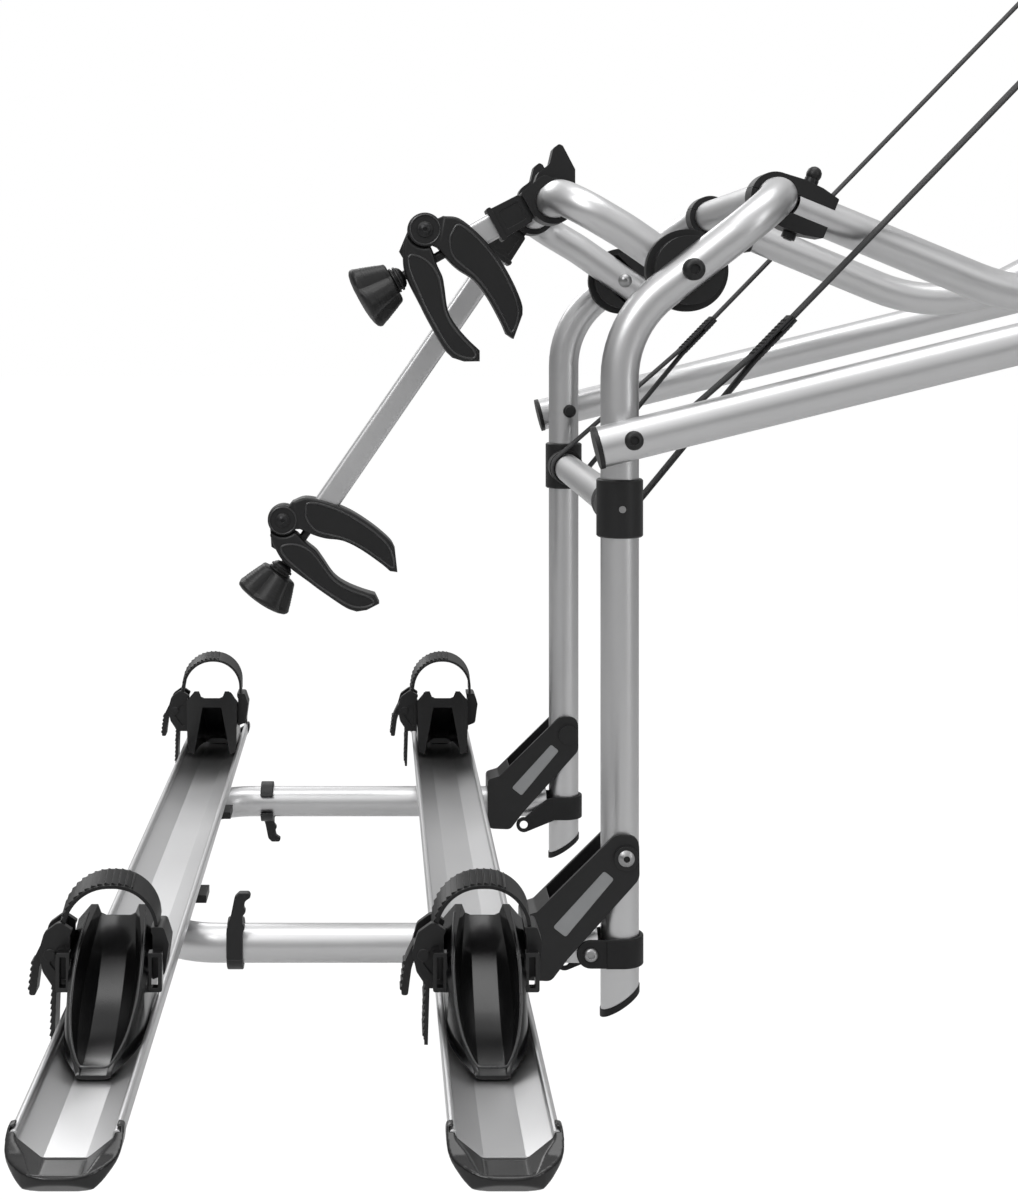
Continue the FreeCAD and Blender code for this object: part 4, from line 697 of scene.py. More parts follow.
railPlaces = {"inner": -1220.0, "outer": -1489.0}
railLook = dict(base=-1025.0, near=-771.5, far=508.5, inset=28.0, half=34.0, tall=25.0, wall=2.6, bead=4.7,
                wing=12.4, rib=12.0, band=13.0, bandHeight=8.5, slot=4.5, room=9.5, lip=2.6,
                beadTall=4.5, beadFoot=6.8, wingRise=2.0, turns=[0, 1, 1.5, 4, 2.3, 2.3, 0.8, 0.8, 2, 1.5])
capLook = dict(length=40.0, overhang=5.0, wall=2.0, shoulder=14.0, keel=21.0, sectionTurns=[3, 26, 28],
               nose=21.0, noseHalf=17.0, planTurns=[0, 35, 38], lip=5.0, lipHeight=9.5, floor=(-13.0, 7.5),
               play=0.2, softness=0.9, sideTurns=[0, 0, 5, 4, 1.5, 16, 10, 0])


def railOutline(look):
    w, tall, wall, bead = look["half"], look["tall"], look["wall"], look["half"] - look["bead"]
    rib, band, top, wing, slot = look["rib"], look["band"], look["bandHeight"], look["wing"], look["slot"]
    right = [(slot, 0), (rib, 0), (rib, top - wall), (w, wing), (w, tall), (bead, tall),
             (bead, tall - look["beadTall"]), (w - wall, tall - look["beadFoot"]),
             (w - wall, wing + look["wingRise"]), (band, top), (0, top)]
    turns = look["turns"]
    left = [(-x, z) for x, z in reversed(right[:-1])]
    room, lip = look["room"], look["lip"]
    groove = [(-slot, lip), (-room, lip), (-room, top - wall), (room, top - wall), (room, lip), (slot, lip)]
    return roundCorners(right + left + groove, turns + [0] + turns[::-1] + [0] * 6, 4)


def makeRails(look):
    outline = railOutline(look)
    for name, x in railPlaces.items():
        shape = slab([(x + px, look["base"] + pz) for px, pz in outline], look["near"] + look["inset"],
                     look["far"] - look["inset"])
        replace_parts(newPiece(name + "Rail", shape, "rail", "platform", 25.0), "wheel_rails")


def capMesh(look, rail, end):
    yEnd = rail["near"] if end < 0 else rail["far"]
    tip, inner = yEnd + end * look["overhang"], yEnd - end * look["length"]
    half, play = rail["half"], look["play"]
    w, top, bottom = half + look["wall"], rail["tall"] + look["wall"], -look["wall"]
    section = [(-w, top), (-w, look["shoulder"]), (-look["keel"], bottom)]
    block = slab(mirroredOutline(section, look["sectionTurns"]), tip + end, inner)
    plan = [(-w - 1, inner - end), (-w - 1, tip - end * look["nose"]), (-look["noseHalf"], tip)]
    plan = slab(mirroredOutline(plan, look["planTurns"]), -20, 60, "Z")
    side = [(inner, bottom - 5), (tip - end * 12, bottom - 5), (tip - end * 9, bottom), (tip, 6),
            (tip, look["lipHeight"]), (tip - end * 20, look["lipHeight"] + 6), (inner + end * 6, top + 1),
            (inner, top + 1)]
    side = slab(roundCorners(side, look["sideTurns"]), -w - 2, w + 2, "X")
    room = [(-half - play, 26), (-half - play, rail["wing"] - play),
            (-rail["rib"] - play, rail["bandHeight"] - rail["wall"] - play), (-rail["rib"] - play, -play)]
    room = slab(mirroredOutline(room, [0] * 4), inner - end * 2, yEnd - end * rail["inset"])
    scoop = mirroredOutline([(-half - 1, 45), (-half + 4, 21), look["floor"]], [0, 3, 3])
    scoop = slab(scoop, inner - end, tip - end * look["lip"])
    shape = cut(combine(block, [plan, side], "INTERSECT"), scoop)
    return cut(soften(shape, look["softness"], 9), room)


def makeCaps(look, rail):
    for end, side in sides:
        shape = capMesh(look, rail, end)
        for name, x in railPlaces.items():
            cap = moved(shape, Matrix.Translation(mm(x, 0, rail["base"])))
            piece = newPiece(name + side.title() + "Cap", cap, "gloss", "platform", 35.0)
            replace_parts(piece, "rail_end_caps")


makeRails(railLook)
makeCaps(capLook, railLook)
print("rails made")

# Wheel trays: their toothed straps and the beads along their rims

trayPlaces = {
    rail + "_" + end: dict(x=x, tip=tip, side=side, arch=arch)
    for rail, x in railPlaces.items()
    for end, tip, side, arch in (("near", -619.5, 1, 105.0), ("far", 471.5, -1, 115.0))
}
trayBase = -1015.5
toothLook = dict(at=102.0, width=24.0, thickness=2.6, tail=(-42.5, -8.5), tailX=-41.0, slantFrom=40.0,
                 slant=0.16, endX=32.2, endLow=74.6, leftR=33.0, rightR=31.0, toothHeight=1.9, toothPitch=4.8,
                 toothTo=150.0, lean=14.0, border=1.6)


def strapLine(look):
    # the strap's middle line in the tray's XZ plane, from its tail to its anchor
    lean = math.degrees(math.atan(look["slant"]))
    leftX = look["tailX"] + (look["top"] - look["slantFrom"]) * look["slant"]
    centreX = leftX + look["leftR"] / math.tan(math.radians(45 + lean / 2))
    arc = arcPoints(centreX, look["top"] - look["leftR"], look["leftR"], 180 - lean, 90, 40)
    corner = (look["tailX"], look["slantFrom"])
    right = arcPoints(look["endX"] - look["rightR"], look["top"] - look["rightR"], look["rightR"], 90, 0, 24)
    return between(look["tail"], corner, 24) + between(corner, arc[0], 24) + arc + right + [
        (look["endX"], look["endLow"])]


def toothedBand(look):
    w, t = look["width"] / 2, look["thickness"] / 2

    def section(distance):
        phase = distance / look["toothPitch"] % 1.0
        tooth = look["toothHeight"] * (1 - phase) if 3 < distance < look["toothTo"] else 0.0
        inner = w - look["border"]
        half = [(w, -t), (w, t), (inner, t), (inner, t + tooth)]
        return [(-w, -t), *half, *[(-wide, out) for wide, out in half[:0:-1]]]

    return section


def spreadEvenly(points, step):
    # the same line with a point at each step, in millimetres, so that every tooth gets its own rows
    spread, left = [points[0]], step
    for (x0, z0), (x1, z1) in zip(points, points[1:]):
        length = math.hypot(x1 - x0, z1 - z0)
        while left <= length:
            share = left / length
            spread.append((x0 + (x1 - x0) * share, z0 + (z1 - z0) * share))
            left += step
        left -= length
    return spread


def makeTrayStrap(look, place, name, body):
    line = spreadEvenly(strapLine({**look, "top": place["arch"]}), look["toothPitch"] / 6)
    y = place["tip"] + place["side"] * look["at"]
    path = [mm(place["x"] + x, y, trayBase + z) for x, z in line]
    lean = math.radians(look["lean"])
    mesh = bandMesh(path, Vector((0, -math.cos(lean), -math.sin(lean))), toothedBand(look))
    return newPiece(name, mesh, "black", body, 30.0)


rimLook = dict(bead=1.7, line=[
    (0.0, 6.9, 0.0), (8.0, 6.9, -0.4), (11.0, 7.6, 1.5), (16.5, 14.5, 13.0), (19.6, 20.6, 23.0),
    (22.2, 30.0, 38.0), (23.7, 38.4, 51.0), (23.6, 50.0, 68.0), (23.6, 62.4, 87.0),
    (22.6, 69.0, 104.0), (21.0, 75.5, 119.0)])


# a bead along the tray's rim in the lighter bead colour, a painted highlight
def makeTrayRim(look, place, name, body):
    right = look["line"]
    both = [(-x, z, y) for x, z, y in reversed(right[1:])] + right
    points = [mm(place["x"] + x, place["tip"] + place["side"] * y, trayBase + z) for x, z, y in both]
    return newPiece(name, wireMesh(points, look["bead"], False), "paintedHighlightBead", body)


trayLook = dict(length=128.0, edge=29.5, side=28.5, tall=79.0, lobe=20.0, channel=9.0, notch=7.0, loopAt=78.0,
                loopSpan=(32.0, 60.0), loopReach=8.5, loopBar=3.0, strapAt=102.0, pinX=-44.5, pinZ=54.0)


def trayLoft(stations, steps):
    # a mirrored loft through stations, each a place along the tray and the points of its +X half
    count = len(stations[0][1])
    lines = [smoothLine([(half[i][0], y, half[i][1]) for y, half in stations], steps) for i in range(count)]
    rings = []
    for row in range(len(lines[0])):
        right = [Vector(line[row]) / 1000 for line in lines]
        rings.append(right + [Vector((-p.x, p.y, p.z)) for p in reversed(right)])
    return ringsMesh(rings)


def trayMesh(look):
    side, edge, length, channel = look["side"], look["edge"], look["length"], look["channel"]
    outer = trayLoft([
        (-4, [(8, 0), (12, 1.2), (12.2, 2.6), (9, 3.2)]),
        (0, [(9, 0), (12.5, 1.6), (13, 5.5), (11.5, 6.5)]),
        (22, [(9, 0), (23, 6.4), (21.5, 17), (19.5, 19.5)]),
        (50, [(9, 0), (side, 8.6), (26, 34), (24, 37)]),
        (86, [(9, 0), (side, 8.6), (edge, 53), (24.5, 61)]),
        (length, [(9, 0), (side, 8.6), (edge, 68), (look["lobe"], look["tall"])]),
    ], 6)
    ramp = trayLoft([
        (-6, [(channel, 2.6), (9.5, 3.0), (10.8, 8)]),
        (0, [(channel, 3.2), (9.5, 4.5), (10.8, 10)]),
        (22, [(channel, 5.5), (14.5, 9), (18.4, 21)]),
        (50, [(channel, 14), (17.5, 21), (22.6, 39)]),
        (86, [(channel, 34), (17.5, 43), (22.4, 64)]),
        (length + 1, [(channel, look["tall"] - look["notch"]), (12.5, 73.5), (15.5, look["tall"] + 2)]),
    ], 5)
    hollow = trayLoft([
        (42, [(19, -1), (8, 6)]),
        (86, [(22, -1), (10, 29)]),
        (length + 1, [(22, -1), (11, 61)]),
    ], 4)
    loops = []
    y, reach, bar, low, high = look["loopAt"], look["loopReach"], look["loopBar"], *look["loopSpan"]
    for sign in (-1, 1):
        rim = [(edge - 1.5, low), (edge + reach, low), (edge + reach, high), (edge - 1.5, high)]
        hole = [(edge + 1, low + bar), (edge + reach - bar, low + bar), (edge + reach - bar, high - bar),
                (edge + 1, high - bar)]
        rim, hole = [[(sign * x, z) for x, z in points] for points in (rim, hole)]
        loops.append(cut(slab(roundCorners(rim, [0, 2, 2, 0]), y - 4, y + 4),
                         slab(roundCorners(hole, [1] * 4), y - 9, y + 9)))
    return cut(combine(outer, loops, "UNION"), ramp, hollow)


blockLook = dict(
    anchor=[(-1, 36), (9, 40), (12, 62), (8, 74), (-1, 74)], anchorTurns=[0, 4, 4, 3, 0], anchorHalf=14.0,
    grooves=(46, 50, 54, 58), grooveFrom=6.0, grooveHalf=9.0, grooveTall=1.6, gap=8.6, cheek=5.2,
    frame=[(1, 30), (-12, 30), (-20, 42), (-23, 56), (-19, 70), (-8, 78), (1, 72)],
    frameTurns=[0, 5, 6, 5, 6, 5, 0], pocket=[(-3, 62), (-9, 60), (-15, 48), (-6, 36), (-3, 36)],
    pocketDepth=1.4, rivetR=4.2, rivetOut=1.2, bridge=[(1, 34), (-7, 34), (-7, 44), (1, 48)],
)


def blockMeshes(look, tray):
    # the strap's anchor on the +X side and the ratchet's frame on the -X side
    y, x, lobe, reach = tray["strapAt"], tray["edge"], tray["lobe"], look["anchorHalf"]
    inside = [(-x - 0.2, -5), (x + 0.2, -5), (x + 0.2, 68), (lobe, 90), (-lobe, 90), (-x - 0.2, 68)]
    inside = slab(inside, 60, 140)
    block = slab(roundCorners(shifted(look["anchor"], (x, 0)), look["anchorTurns"]), y - reach, y + reach)
    start, tall, half = x + look["grooveFrom"], look["grooveTall"], look["grooveHalf"]
    grooves = [slab([(start, z), (x + 20, z), (x + 20, z + tall), (start, z + tall)], y - half, y + half)
               for z in look["grooves"]]
    meshes = [cut(block, inside, *grooves)]
    outline = roundCorners(shifted(look["frame"], (-x, 0)), look["frameTurns"])
    hollow = roundCorners(shifted(look["pocket"], (-x, 0)), [2] * 5)
    gap = look["gap"]
    for side in (-1, 1):
        face = y + side * (gap + look["cheek"])
        plate = cut(slab(outline, y + side * gap, face), inside)
        pocket = slab(hollow, face + side, face - side * look["pocketDepth"])
        rivetEnd = face + side * look["rivetOut"]
        rivet = drum(tray["pinX"], tray["pinZ"], look["rivetR"], face - side, rivetEnd, 28)
        meshes += [cut(plate, pocket), rivet]
    bridge = roundCorners(shifted(look["bridge"], (-x, 0)), [0, 2, 2, 0])
    return meshes + [cut(slab(bridge, y - gap - 1, y + gap + 1), inside)]


leverLook = dict(half=7.8, r=5.5, pinR=2.5, ribs=5, ribR=1.5, ribFrom=(-13.2, -8.0), ribStep=(-0.55, -4.6),
                 turns=[0, 4, 14, 2, 2, 14, 2, 0], plate=[
    (0, 5.4), (-7, 6.5), (-13, -6), (-16, -31), (-11, -31), (-8.5, -12), (-6.5, -5.4), (0, -5.4)])


def leverMesh(look, tray):
    pin = (tray["pinX"], tray["pinZ"])
    low, high = tray["strapAt"] - look["half"], tray["strapAt"] + look["half"]
    meshes = [slab(roundCorners(shifted(look["plate"], pin), look["turns"]), low, high),
              drum(*pin, look["r"], low, high, 28), drum(*pin, look["pinR"], low - 4, high + 4, 20)]
    for step in range(look["ribs"]):
        x, z = [pin[i] + look["ribFrom"][i] + look["ribStep"][i] * step for i in (0, 1)]
        meshes.append(drum(x, z, look["ribR"], low + 1, high - 1, 16))
    return joinMeshes(meshes)


def trayMatrix(place):
    flip = Matrix.Scale(-1, 4, Vector((0, 1, 0))) if place["side"] < 0 else Matrix.Identity(4)
    return Matrix.Translation(mm(place["x"], place["tip"], trayBase)) @ flip


leverShape = leverMesh(leverLook, trayLook)
trayShape, blockShape = trayMesh(trayLook), joinMeshes(blockMeshes(blockLook, trayLook))
for tray, place in trayPlaces.items():
    body = tray + "_tray"
    title = tray.split("_")[0] + tray.split("_")[1].title()
    scoop = newPiece(title + "Tray", moved(trayShape, trayMatrix(place)), "gloss", body, 32.0)
    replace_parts(scoop, body)
    lever = newPiece(title + "Lever", moved(leverShape, trayMatrix(place)), "black", tray + "_lever", 30.0)
    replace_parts(lever, tray + "_tray_lever")
    newPiece(title + "TrayBlocks", moved(blockShape, trayMatrix(place)), "black", body, 32.0)
    strap = makeTrayStrap(toothLook, place, title + "ToothedStrap", body)
    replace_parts(strap, tray + "_tray_strap")
    makeTrayRim(rimLook, place, title + "TrayRim", body)
print("trays made")

# Claws: jaws, thrust washers and knobs with their rods

clawPlaces = {
    "short": dict(y=-92.0, pitch=29.0, pivot=(-1252.236, -419.353)),
    "long": dict(y=128.0, pitch=55.5, pivot=(-1395.553, -713.952)),
}
jawLook = dict(
    half=15.0, bossR=16.5, bossEdge=1.2, bevel=2.6, face=15.0, bead=2.4, tongue=4.7, tongueRoom=0.4,
    inset=0.5, bossRoom=0.7, ringInset=2.5, ringBead=1.6,
    screwHead=[(7.4, -2), (7.4, 1.2), (6.4, 2.0), (3.8, 2.2), (3.6, 0.8), (0.1, 0.8)],
    web=[(-9, -12), (6, -31), (30, -30), (32, -4), (10, -2)],
    fixedOuter=[(-3, 21), (6, 33), (26, 41.5), (52, 47.5), (80, 48.5), (104, 46), (114, 41.5)],
    fixedTip=[(130, 23)],
    fixedInner=[(123, 19.5), (110, 20.7), (84, 20.8), (64, 17.6), (48, 9.5), (36, 5.5), (20, 2.4)],
    fixedBorder=[(9, 30), (26, 38), (52, 44), (80, 45), (104, 42.4), (116, 35), (125, 24.5), (120, 23.6),
                 (110, 24.4), (84, 24.5), (63, 21.2), (46, 14), (34, 10), (19, 15), (14, 22)],
    movingInner=[(20, -3.4), (34, -6), (46.5, -7), (57, -10.5), (76, -17.6), (91, -18.2), (108.5, -14.8),
                 (124, -10)],
    movingTip=[(133, -15), (126, -28)],
    movingOuter=[(118, -35.5), (105.4, -38.5), (77, -38.8), (60, -38.2), (28, -36.4), (8, -28), (-2, -21)],
    movingBorder=[(21, -15), (34, -10), (46, -10.6), (57, -14.2), (76, -21.4), (91, -22), (108, -18.6),
                  (122, -14), (129, -17.4), (123, -26), (115, -32), (104, -34.8), (77, -35.2), (60, -34.6),
                  (44, -33), (24, -31), (12, -25)],
)
washerLook = dict(r=12.5, tall=11.0, seat=37.9, rodAt=28.0, bore=4.6, mouth=5.4,
                  rim=[(-1, 0), (0, 0.8), (0, 2.2), (-2, 2.8), (-2, 3.6), (-0.4, 4.2), (-0.4, 5.8), (-2, 6.6),
                       (-2.4, 8), (-4.5, 10)])
knobLook = dict(r=32.0, neck=21.0, tall=34.0, lobes=5, rodR=4.5, rodTop=33.0, flute=0.2, ribs=7, rib=0.016,
                dome=[(0.35, -3.0), (0.6, -2.2), (0.8, -0.9), (0.93, 0.8), (0.985, 2.8), (1, 5)])


def clawMatrix(place):
    turn = Matrix.Rotation(math.radians(90 - place["pitch"]), 4, "Y")
    return Matrix.Translation(mm(place["pivot"][0], place["y"], place["pivot"][1])) @ turn


def jawBeads(look, line, thickness):
    # a closed bead along a line on both faces of a jaw
    return [wireMesh([mm(x, side * look["face"], z) for x, z in line], thickness, True) for side in (-1, 1)]


def fixedJawMesh(look):
    half, gap, inset = look["half"], look["tongue"] + look["tongueRoom"], look["inset"]
    blade = smoothLine(look["fixedOuter"]) + look["fixedTip"] + smoothLine(look["fixedInner"])
    front = sidePlate([blade], 0, 2 * half, look["bevel"])
    neck = smoothLine(look["fixedOuter"][:2]) + [(24, 20)] + smoothLine(look["fixedInner"][5:])
    neck += arcPoints(0, 0, look["bossR"] - inset, -2, -258, 30)
    cheeks = [sidePlate([neck], side * (half - inset + gap) / 2, half - inset - gap, look["bossEdge"])
              for side in (-1, 1)]
    head = lathe(look["screwHead"], 36)
    heads = [moved(head, Matrix.Translation(mm(0, side * look["face"], 0))
                   @ Matrix.Rotation(math.radians(side * -90), 4, "X")) for side in (-1, 1)]
    borders = jawBeads(look, look["fixedBorder"], look["bead"])
    rings = jawBeads(look, circle(0, 0, look["bossR"] - look["ringInset"], 24), look["ringBead"])
    return joinMeshes([front, *cheeks, *heads]), joinMeshes(borders + rings)


def movingJawMesh(look):
    blade = smoothLine(look["movingInner"]) + look["movingTip"] + smoothLine(look["movingOuter"])
    hollow = arcPoints(0, 0, look["bossR"] + look["bossRoom"], -102, -14, 20)
    front = sidePlate([blade + hollow], 0, 2 * look["half"], look["bevel"])
    tongue = sidePlate([circle(0, 0, look["bossR"], 36)], 0, 2 * look["tongue"], 0.5)
    web = sidePlate([look["web"]], 0, 2 * look["tongue"], 0.5)
    return joinMeshes([front, tongue, web]), joinMeshes(jawBeads(look, look["movingBorder"], look["bead"]))


def washerMesh(look):
    top, low, r = -look["seat"], -look["seat"] - look["tall"], look["r"]
    rim = shifted(look["rim"], (r, low))
    profile = [(look["bore"], low), *rim, (look["mouth"], top), (look["bore"], top)]
    return moved(lathe(profile), Matrix.Translation(mm(look["rodAt"], 0, 0)))


def knobMesh(look, washer):
    # lobed body with ribbed grips, widest at its far face, on a rod that runs through the washer
    top = -washer["seat"] - washer["tall"] - 0.1
    base = top - look["tall"]
    r, neck, tall = look["r"], look["neck"], look["tall"]
    dome = [(0.1, base - 3.2)] + [(r * share, base + rise) for share, rise in look["dome"]]
    flank = [(r + (neck - r) * step / 28, base + 5 + (tall - 7) * step / 28) for step in range(1, 29)]
    profile = dome + flank + [(neck - 1.5, top - 0.6), (neck - 4, top), (0.1, top)]

    def lobes(turn, share):
        wave = 0.5 + 0.5 * math.cos(look["lobes"] * turn)
        outward = min(1.0, max(0.0, (share - 0.06) / 0.12)) if share < 0.9 else max(0.0, (1 - share) / 0.1)
        depth = look["flute"] * (1 - wave ** 0.55) * outward
        grip = 1.0 if 0.3 < share < 0.78 and wave > 0.45 else 0.0
        ridge = look["rib"] * grip * (0.5 + 0.5 * math.cos(share * look["ribs"] * 4 * math.pi))
        return 1 - depth + ridge

    rod = lathe([(0.1, base + 3), (look["rodR"], base + 3), (look["rodR"], look["rodTop"]),
                 (0.1, look["rodTop"])], 24)
    body = lathe(profile, look["lobes"] * 36, lobes)
    return moved(joinMeshes([body, rod]), Matrix.Translation(mm(washer["rodAt"], 0, 0)))


fixedJaw, fixedHighlightBeads = fixedJawMesh(jawLook)
movingJaw, movingHighlightBeads = movingJawMesh(jawLook)
clawShapes = dict(fixed=fixedJaw, moving=movingJaw, washer=washerMesh(washerLook),
                  knob=knobMesh(knobLook, washerLook))
for claw, place in clawPlaces.items():
    matrix = clawMatrix(place)
    for shape, body, node in (("fixed", "arm", "claw_fixed_jaw"), ("moving", "jaw", "claw_moving_jaw"),
                              ("washer", "washer", "claw_thrust_washer"), ("knob", "knob", "claw_knob")):
        mesh = moved(clawShapes[shape], matrix)
        piece = newPiece(claw + shape.title() + "Piece", mesh, "black", claw + "_" + body)
        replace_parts(piece, claw + "_" + node)
    # borders and rings in the lighter bead colour: painted highlight
    newPiece(claw + "FixedHighlightBeads", moved(fixedHighlightBeads, matrix), "paintedHighlightBead", claw + "_arm")
    newPiece(claw + "MovingHighlightBeads", moved(movingHighlightBeads, matrix), "paintedHighlightBead", claw + "_jaw")
print("claws made")

# Braces that carry the platform's tube from the legs, with a grey inlay on each cheek

braceLook = dict(
    pivot=(-1085.0, -963.0), legX=-1088.0, legY=250.0, tubeZ=-1041.7, inner=16.85, cheek=4.0, bossR=10.5,
    boss=2.5, pocket=1.2, inlayBelow=0.15, inlayThick=1.0, tubePress=0.2, tubeSpan=(-140, 60),
    turns=[12, 12, 6, 5, 7, 8, 14, 12],
    outline=[(11, 19), (-9, 20), (-76, -46), (-89, -50), (-89, -104), (-64, -105), (-49.5, -85.8),
             (11.5, -17.8)],
    channel=[(60, 60), (-24, 60), (-68, -42), (-56, -64), (60, -64)],
    inlay=[(-10.2, -18), (-18.8, -11), (-62.5, -59), (-51.5, -67.5)],
)


def makeBrace(look, y, name):
    pivot, inner = look["pivot"], look["inner"]
    outer = inner + look["cheek"]
    body = slab(roundCorners(shifted(look["outline"], pivot), look["turns"]), y - outer, y + outer)
    boss = drum(*pivot, look["bossR"], y - outer - look["boss"], y + outer + look["boss"])
    channel = slab(roundCorners(shifted(look["channel"], pivot), [0, 0, 4, 4, 0]), y - inner, y + inner)
    start, end = [pivot[0] + reach for reach in look["tubeSpan"]]
    tube = slab(circle(y, look["tubeZ"], inner - look["tubePress"], 36), start, end, "X")
    leg = slab(circle(look["legX"], y, inner, 36), pivot[1] - 150, pivot[1] + 150, "Z")
    cuts, inlayLine = [channel, tube, leg], shifted(look["inlay"], pivot)
    for side in (-1, 1):
        face = y + side * outer
        cuts.append(slab(roundCorners(inlayLine, [2.5] * 4), face + side, face - side * look["pocket"]))
        middle = face - side * (look["inlayThick"] / 2 + look["inlayBelow"])
        strip = sidePlate([roundCorners(inlayLine, [2.2] * 4)], middle, look["inlayThick"], 0.2)
        inlay = newPiece(name + ("Outer" if side * y > 0 else "Inner") + "Inlay", strip, "inlay", "platform")
        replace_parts(inlay, "brace_inlays")
    shape = cut(combine(body, [boss], "UNION"), *cuts)
    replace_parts(newPiece(name, shape, "black", "platform", 30.0), "platform_braces")


for sign, side in sides:
    makeBrace(braceLook, sign * braceLook["legY"], side + "Brace")
print("braces made")

# Hoop and bike arms as smooth tubes

hoopLook = dict(r=16.0, half=205.2, tail=(-1009.0, 551.4), mid=(-1077.0, 599.0), top=(-1132.5, 632.0),
                midR=200.0, cornerR=40.0)


def makeHoop(look):
    level, midR, corner = railLook["base"], look["midR"], look["cornerR"]
    line = [(x, -look["half"], level + h) for x, h in (look["tail"], look["mid"], look["top"])]
    points = line + [(x, -y, z) for x, y, z in line[::-1]]
    route = bendLine(points, [midR, corner, corner, midR], 16)
    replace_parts(newPiece("hoopTube", pipeMesh(route, look["r"]), "tube", "hoop", 50.0), "hoop_tube")


armLook = dict(half=12.5, halfAcross=9.0, corner=5.0, at=28.0, start=29.0, bracket=27.0,
               lengths={"short": 88.5, "long": 384.5})
for claw, place in clawPlaces.items():
    end = armLook["lengths"][claw] - armLook["bracket"]
    w, t, at = armLook["half"], armLook["halfAcross"], armLook["at"]
    outline = roundCorners([(at - w, -t), (at + w, -t), (at + w, t), (at - w, t)], [armLook["corner"]] * 4, 8)
    tube = moved(slab(outline, armLook["start"], end, "Z"), clawMatrix(place))
    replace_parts(newPiece(claw + "ArmTube", tube, "arm", claw + "_arm", 50.0), claw + "_arm_tube")
print("arms made")

# Bolt heads with their sockets, the caps over the hoop's hinges and the tall nuts of the top clamps

domeProfile = [(1.0, -0.45), (1.0, 0.14), (0.93, 0.34), (0.74, 0.52), (0.5, 0.6), (0.46, 0.6), (0.42, 0.3),
               (0.01, 0.3)]
boltPlaces = {
    "hingeCap": dict(x=-1027.0, y=270.2, z=-461.0, r=9.6, look="black", body="carrier", way=1),
    "pivotOuter": dict(x=-1083.0, y=0.0, z=-605.0, r=8.2, look="black", body="lower_arms", way=1),
    "pivotInner": dict(x=-1083.0, y=233.4, z=-605.0, r=7.2, look="black", body="carrier", way=-1),
    "strapBolt": dict(x=-1115.0, y=270.3, z=-1045.7, r=6.0, look="steel", body="platform", way=1),
}
boltPlaces["pivotOuter"]["y"] = -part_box("lower_arm_bolts")[0].y * 1000 - 2.0


def makeBoltHeads(places):
    for name, place in places.items():
        head = lathe([(r * place["r"], z * place["r"]) for r, z in domeProfile], 36)
        for sign, side in sides:
            turn = Matrix.Rotation(math.radians(-90 * sign * place["way"]), 4, "X")
            mesh = moved(head, Matrix.Translation(mm(place["x"], sign * place["y"], place["z"])) @ turn)
            newPiece(side + name[0].upper() + name[1:], mesh, place["look"], place["body"], 50.0)


makeHoop(hoopLook)
makeBoltHeads(boltPlaces)

nutLook = dict(y=170.0, at=27.0, pivot=(-940.0, -393.0), slope=22.47, base=24.0,
               profile=[(5.5, -4), (5.5, 3), (5.2, 4), (6.4, 6), (7.0, 9), (6.4, 12.4), (4.4, 15),
                        (2.0, 16.2), (0.05, 16.5)])


def makeClampNuts(look):
    slope = math.radians(look["slope"])
    along, up = Vector((math.cos(slope), 0, -math.sin(slope))), Vector((math.sin(slope), 0, math.cos(slope)))
    for sign, side in sides:
        place = mm(look["pivot"][0], sign * look["y"], look["pivot"][1]) + along * (look["at"] / 1000)
        place += up * (look["base"] / 1000)
        matrix = Matrix.Translation(place) @ Matrix.Rotation(slope, 4, "Y")
        newPiece(side + "ClampNut", moved(lathe(look["profile"], 32), matrix), "black", "upper_arms", 60.0)


makeClampNuts(nutLook)

# Clips on the platform's tube: an open ring with a stepped hook

clipLook = dict(x=-1419.0, y=250.0, z=-1041.7, half=7.0, inner=16.85, outer=21.85, hookWide=9.0, mouth=9.0,
                turns=[0, 6, 6, 3, 2, 3, 2, 4, 2, 2, 2, 3, 2, 2, 0], hook=[
    (-7, -8), (-7, 17), (-3, 30), (0, 45), (4, 49), (13, 49), (14, 45), (9, 42), (8, 36), (10, 33), (7, 29),
    (7, 22), (9, 19), (7, 15), (7, -8)])


def clipMesh(look):
    half, inner, outer, wide = look["half"], look["inner"], look["outer"], look["mouth"]
    ring = slab(circle(0, 0, outer, 60), -half, half, "X")
    hook = slab(roundCorners(look["hook"], look["turns"]), -outer, -outer + look["hookWide"])
    bore = slab(circle(0, 0, inner, 60), -half - 1, half + 1, "X")
    mouth = slab([(2, -wide), (40, -wide), (40, wide), (2, wide)], -half - 1, half + 1, "X")
    return soften(cut(combine(ring, [hook], "UNION"), bore, mouth), 0.8, 3)


def makeClips(look):
    shape = clipMesh(look)
    for sign, side in sides:
        turn = Matrix.Rotation(math.radians(0 if sign < 0 else 180), 4, "X")
        matrix = Matrix.Translation(mm(look["x"], sign * look["y"], look["z"])) @ turn
        piece = newPiece(side + "ClipPiece", moved(shape, matrix), "black", side + "_clip", 60.0)
        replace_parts(piece, side + "_clip")


makeClips(clipLook)
print("bolts and clips made")


# Stage, light and camera

stageLook = dict(floorBelow=0.30, floorSize=60.0, floorColour=(0.88, 0.88, 0.88), seen=0.9, glow=1.08)


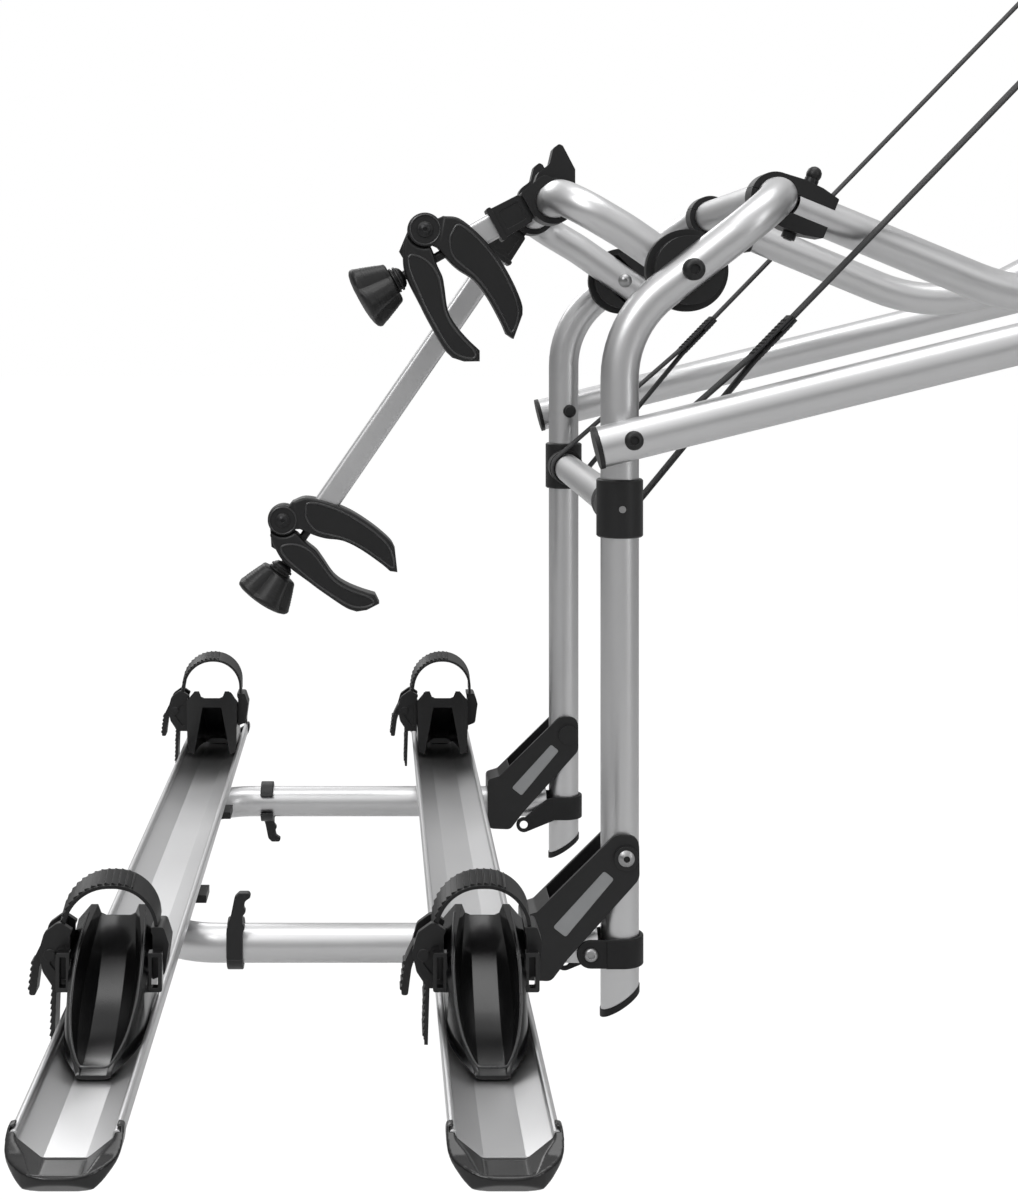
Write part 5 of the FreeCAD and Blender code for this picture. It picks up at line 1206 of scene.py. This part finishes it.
def makeStage(look):
    floorZ = cadLow.z - look["floorBelow"]
    half = look["floorSize"] / 2
    corners = [(-half, -half, floorZ), (half, -half, floorZ), (half, half, floorZ), (-half, half, floorZ)]
    floor = newObject("floor", meshOf(corners, [(0, 1, 2, 3)]))
    material, tree, shader = newMaterial("paleFloor")
    shader.inputs["Base Color"].default_value = (*look["floorColour"], 1)
    shader.inputs["Roughness"].default_value = 0.9
    path = tree.nodes.new("ShaderNodeLightPath")
    seen = calc(tree, "MAXIMUM", path.outputs["Is Camera Ray"], path.outputs["Is Transmission Ray"])
    glow = addNode(tree, "ShaderNodeEmission", Color=(1, 1, 1, 1), Strength=look["glow"])
    mix = tree.nodes.new("ShaderNodeMixShader")
    tree.links.new(calc(tree, "MULTIPLY", seen, look["seen"]), mix.inputs[0])
    tree.links.new(shader.outputs[0], mix.inputs[1])
    tree.links.new(glow.outputs[0], mix.inputs[2])
    tree.links.new(mix.outputs[0], tree.nodes["Material Output"].inputs["Surface"])
    floor.data.materials.append(material)


makeStage(stageLook)

# what shiny surfaces see: light from above, a darker band below, and dark ends across the view
worldLook = dict(soft=0.33, sides=0.5, levels=(
    (0.0, 0.10), (0.36, 0.16), (0.50, 0.34), (0.66, 0.80), (1.0, 0.62)))


def makeWorld(look):
    world = bpy.data.worlds.new("studio")
    scene.world = world
    world.use_nodes = True
    tree = world.node_tree
    tree.nodes.clear()
    path = tree.nodes.new("ShaderNodeLightPath")
    coord = tree.nodes.new("ShaderNodeTexCoord")
    parts = addNode(tree, "ShaderNodeSeparateXYZ", Vector=coord.outputs["Generated"])
    ramp = tree.nodes.new("ShaderNodeValToRGB")
    tree.links.new(calc(tree, "MULTIPLY_ADD", parts.outputs["Z"], 0.5, 0.5), ramp.inputs[0])
    stops = ramp.color_ramp.elements
    for index, (position, level) in enumerate(look["levels"]):
        stop = stops[0] if index == 0 else stops.new(position)
        stop.position = position
        stop.color = (level, level, level, 1)
    stops.remove(stops[-1])
    aside = calc(tree, "POWER", calc(tree, "ABSOLUTE", parts.outputs["X"]), 2.0)
    dim = calc(tree, "SUBTRACT", 1.0, calc(tree, "MULTIPLY", aside, look["sides"]))
    glossy = blendColours(tree, 1.0, ramp.outputs[0], dim, "MULTIPLY")
    soft = (look["soft"],) * 3 + (1,)
    colour = blendColours(tree, path.outputs["Is Glossy Ray"], soft, glossy)
    colour = blendColours(tree, path.outputs["Is Transmission Ray"], colour, (1, 1, 1, 1))
    colour = blendColours(tree, path.outputs["Is Camera Ray"], colour, (1, 1, 1, 1))
    background = addNode(tree, "ShaderNodeBackground", Color=colour, Strength=1.0)
    output = tree.nodes.new("ShaderNodeOutputWorld")
    tree.links.new(background.outputs[0], output.inputs[0])


makeWorld(worldLook)

lamps = {
    "key": dict(place=(-3.4, -3.2, 2.4), size=(1.8, 2.2), power=70.0),
    "top": dict(place=(-0.8, -0.4, 3.0), size=(2.6, 2.0), power=48.0),
    "side": dict(place=(2.2, -3.0, 0.4), size=(0.7, 2.6), power=20.0),
    "back": dict(place=(-2.6, 3.0, 1.6), size=(2.2, 1.4), power=30.0),
}
lampAim = Vector((-1.0, 0.0, -0.6))


def makeLamp(name, look):
    light = bpy.data.lights.new(name, "AREA")
    light.shape = "RECTANGLE"
    light.size, light.size_y = look["size"]
    light.energy = look["power"]
    lamp = newObject(name, light)
    lamp.location = look["place"]
    lamp.rotation_euler = (lampAim - lamp.location).to_track_quat("-Z", "Y").to_euler()


for name, look in lamps.items():
    makeLamp(name, look)

# the photograph is a level view along +Y with its vanishing point at the pixel vanishX, vanishY
photoView = dict(wide=1018, tall=1200, vanishX=374, vanishY=322, focalPixels=1960,
                 place=(-1.300, -1.9415, -0.506))


def makeCamera(look):
    camera = bpy.data.cameras.new("photoView")
    camera.sensor_width = 36.0
    camera.lens = look["focalPixels"] / look["tall"] * camera.sensor_width
    camera.shift_x = (look["wide"] / 2 - look["vanishX"]) / look["tall"]
    camera.shift_y = -(look["tall"] / 2 - look["vanishY"]) / look["tall"]
    obj = newObject("photoView", camera)
    obj.location = look["place"]
    obj.rotation_euler = (math.radians(90), 0, 0)
    scene.camera = obj


makeCamera(photoView)
scene.view_settings.view_transform = "Standard"
print("stage, light and camera made")
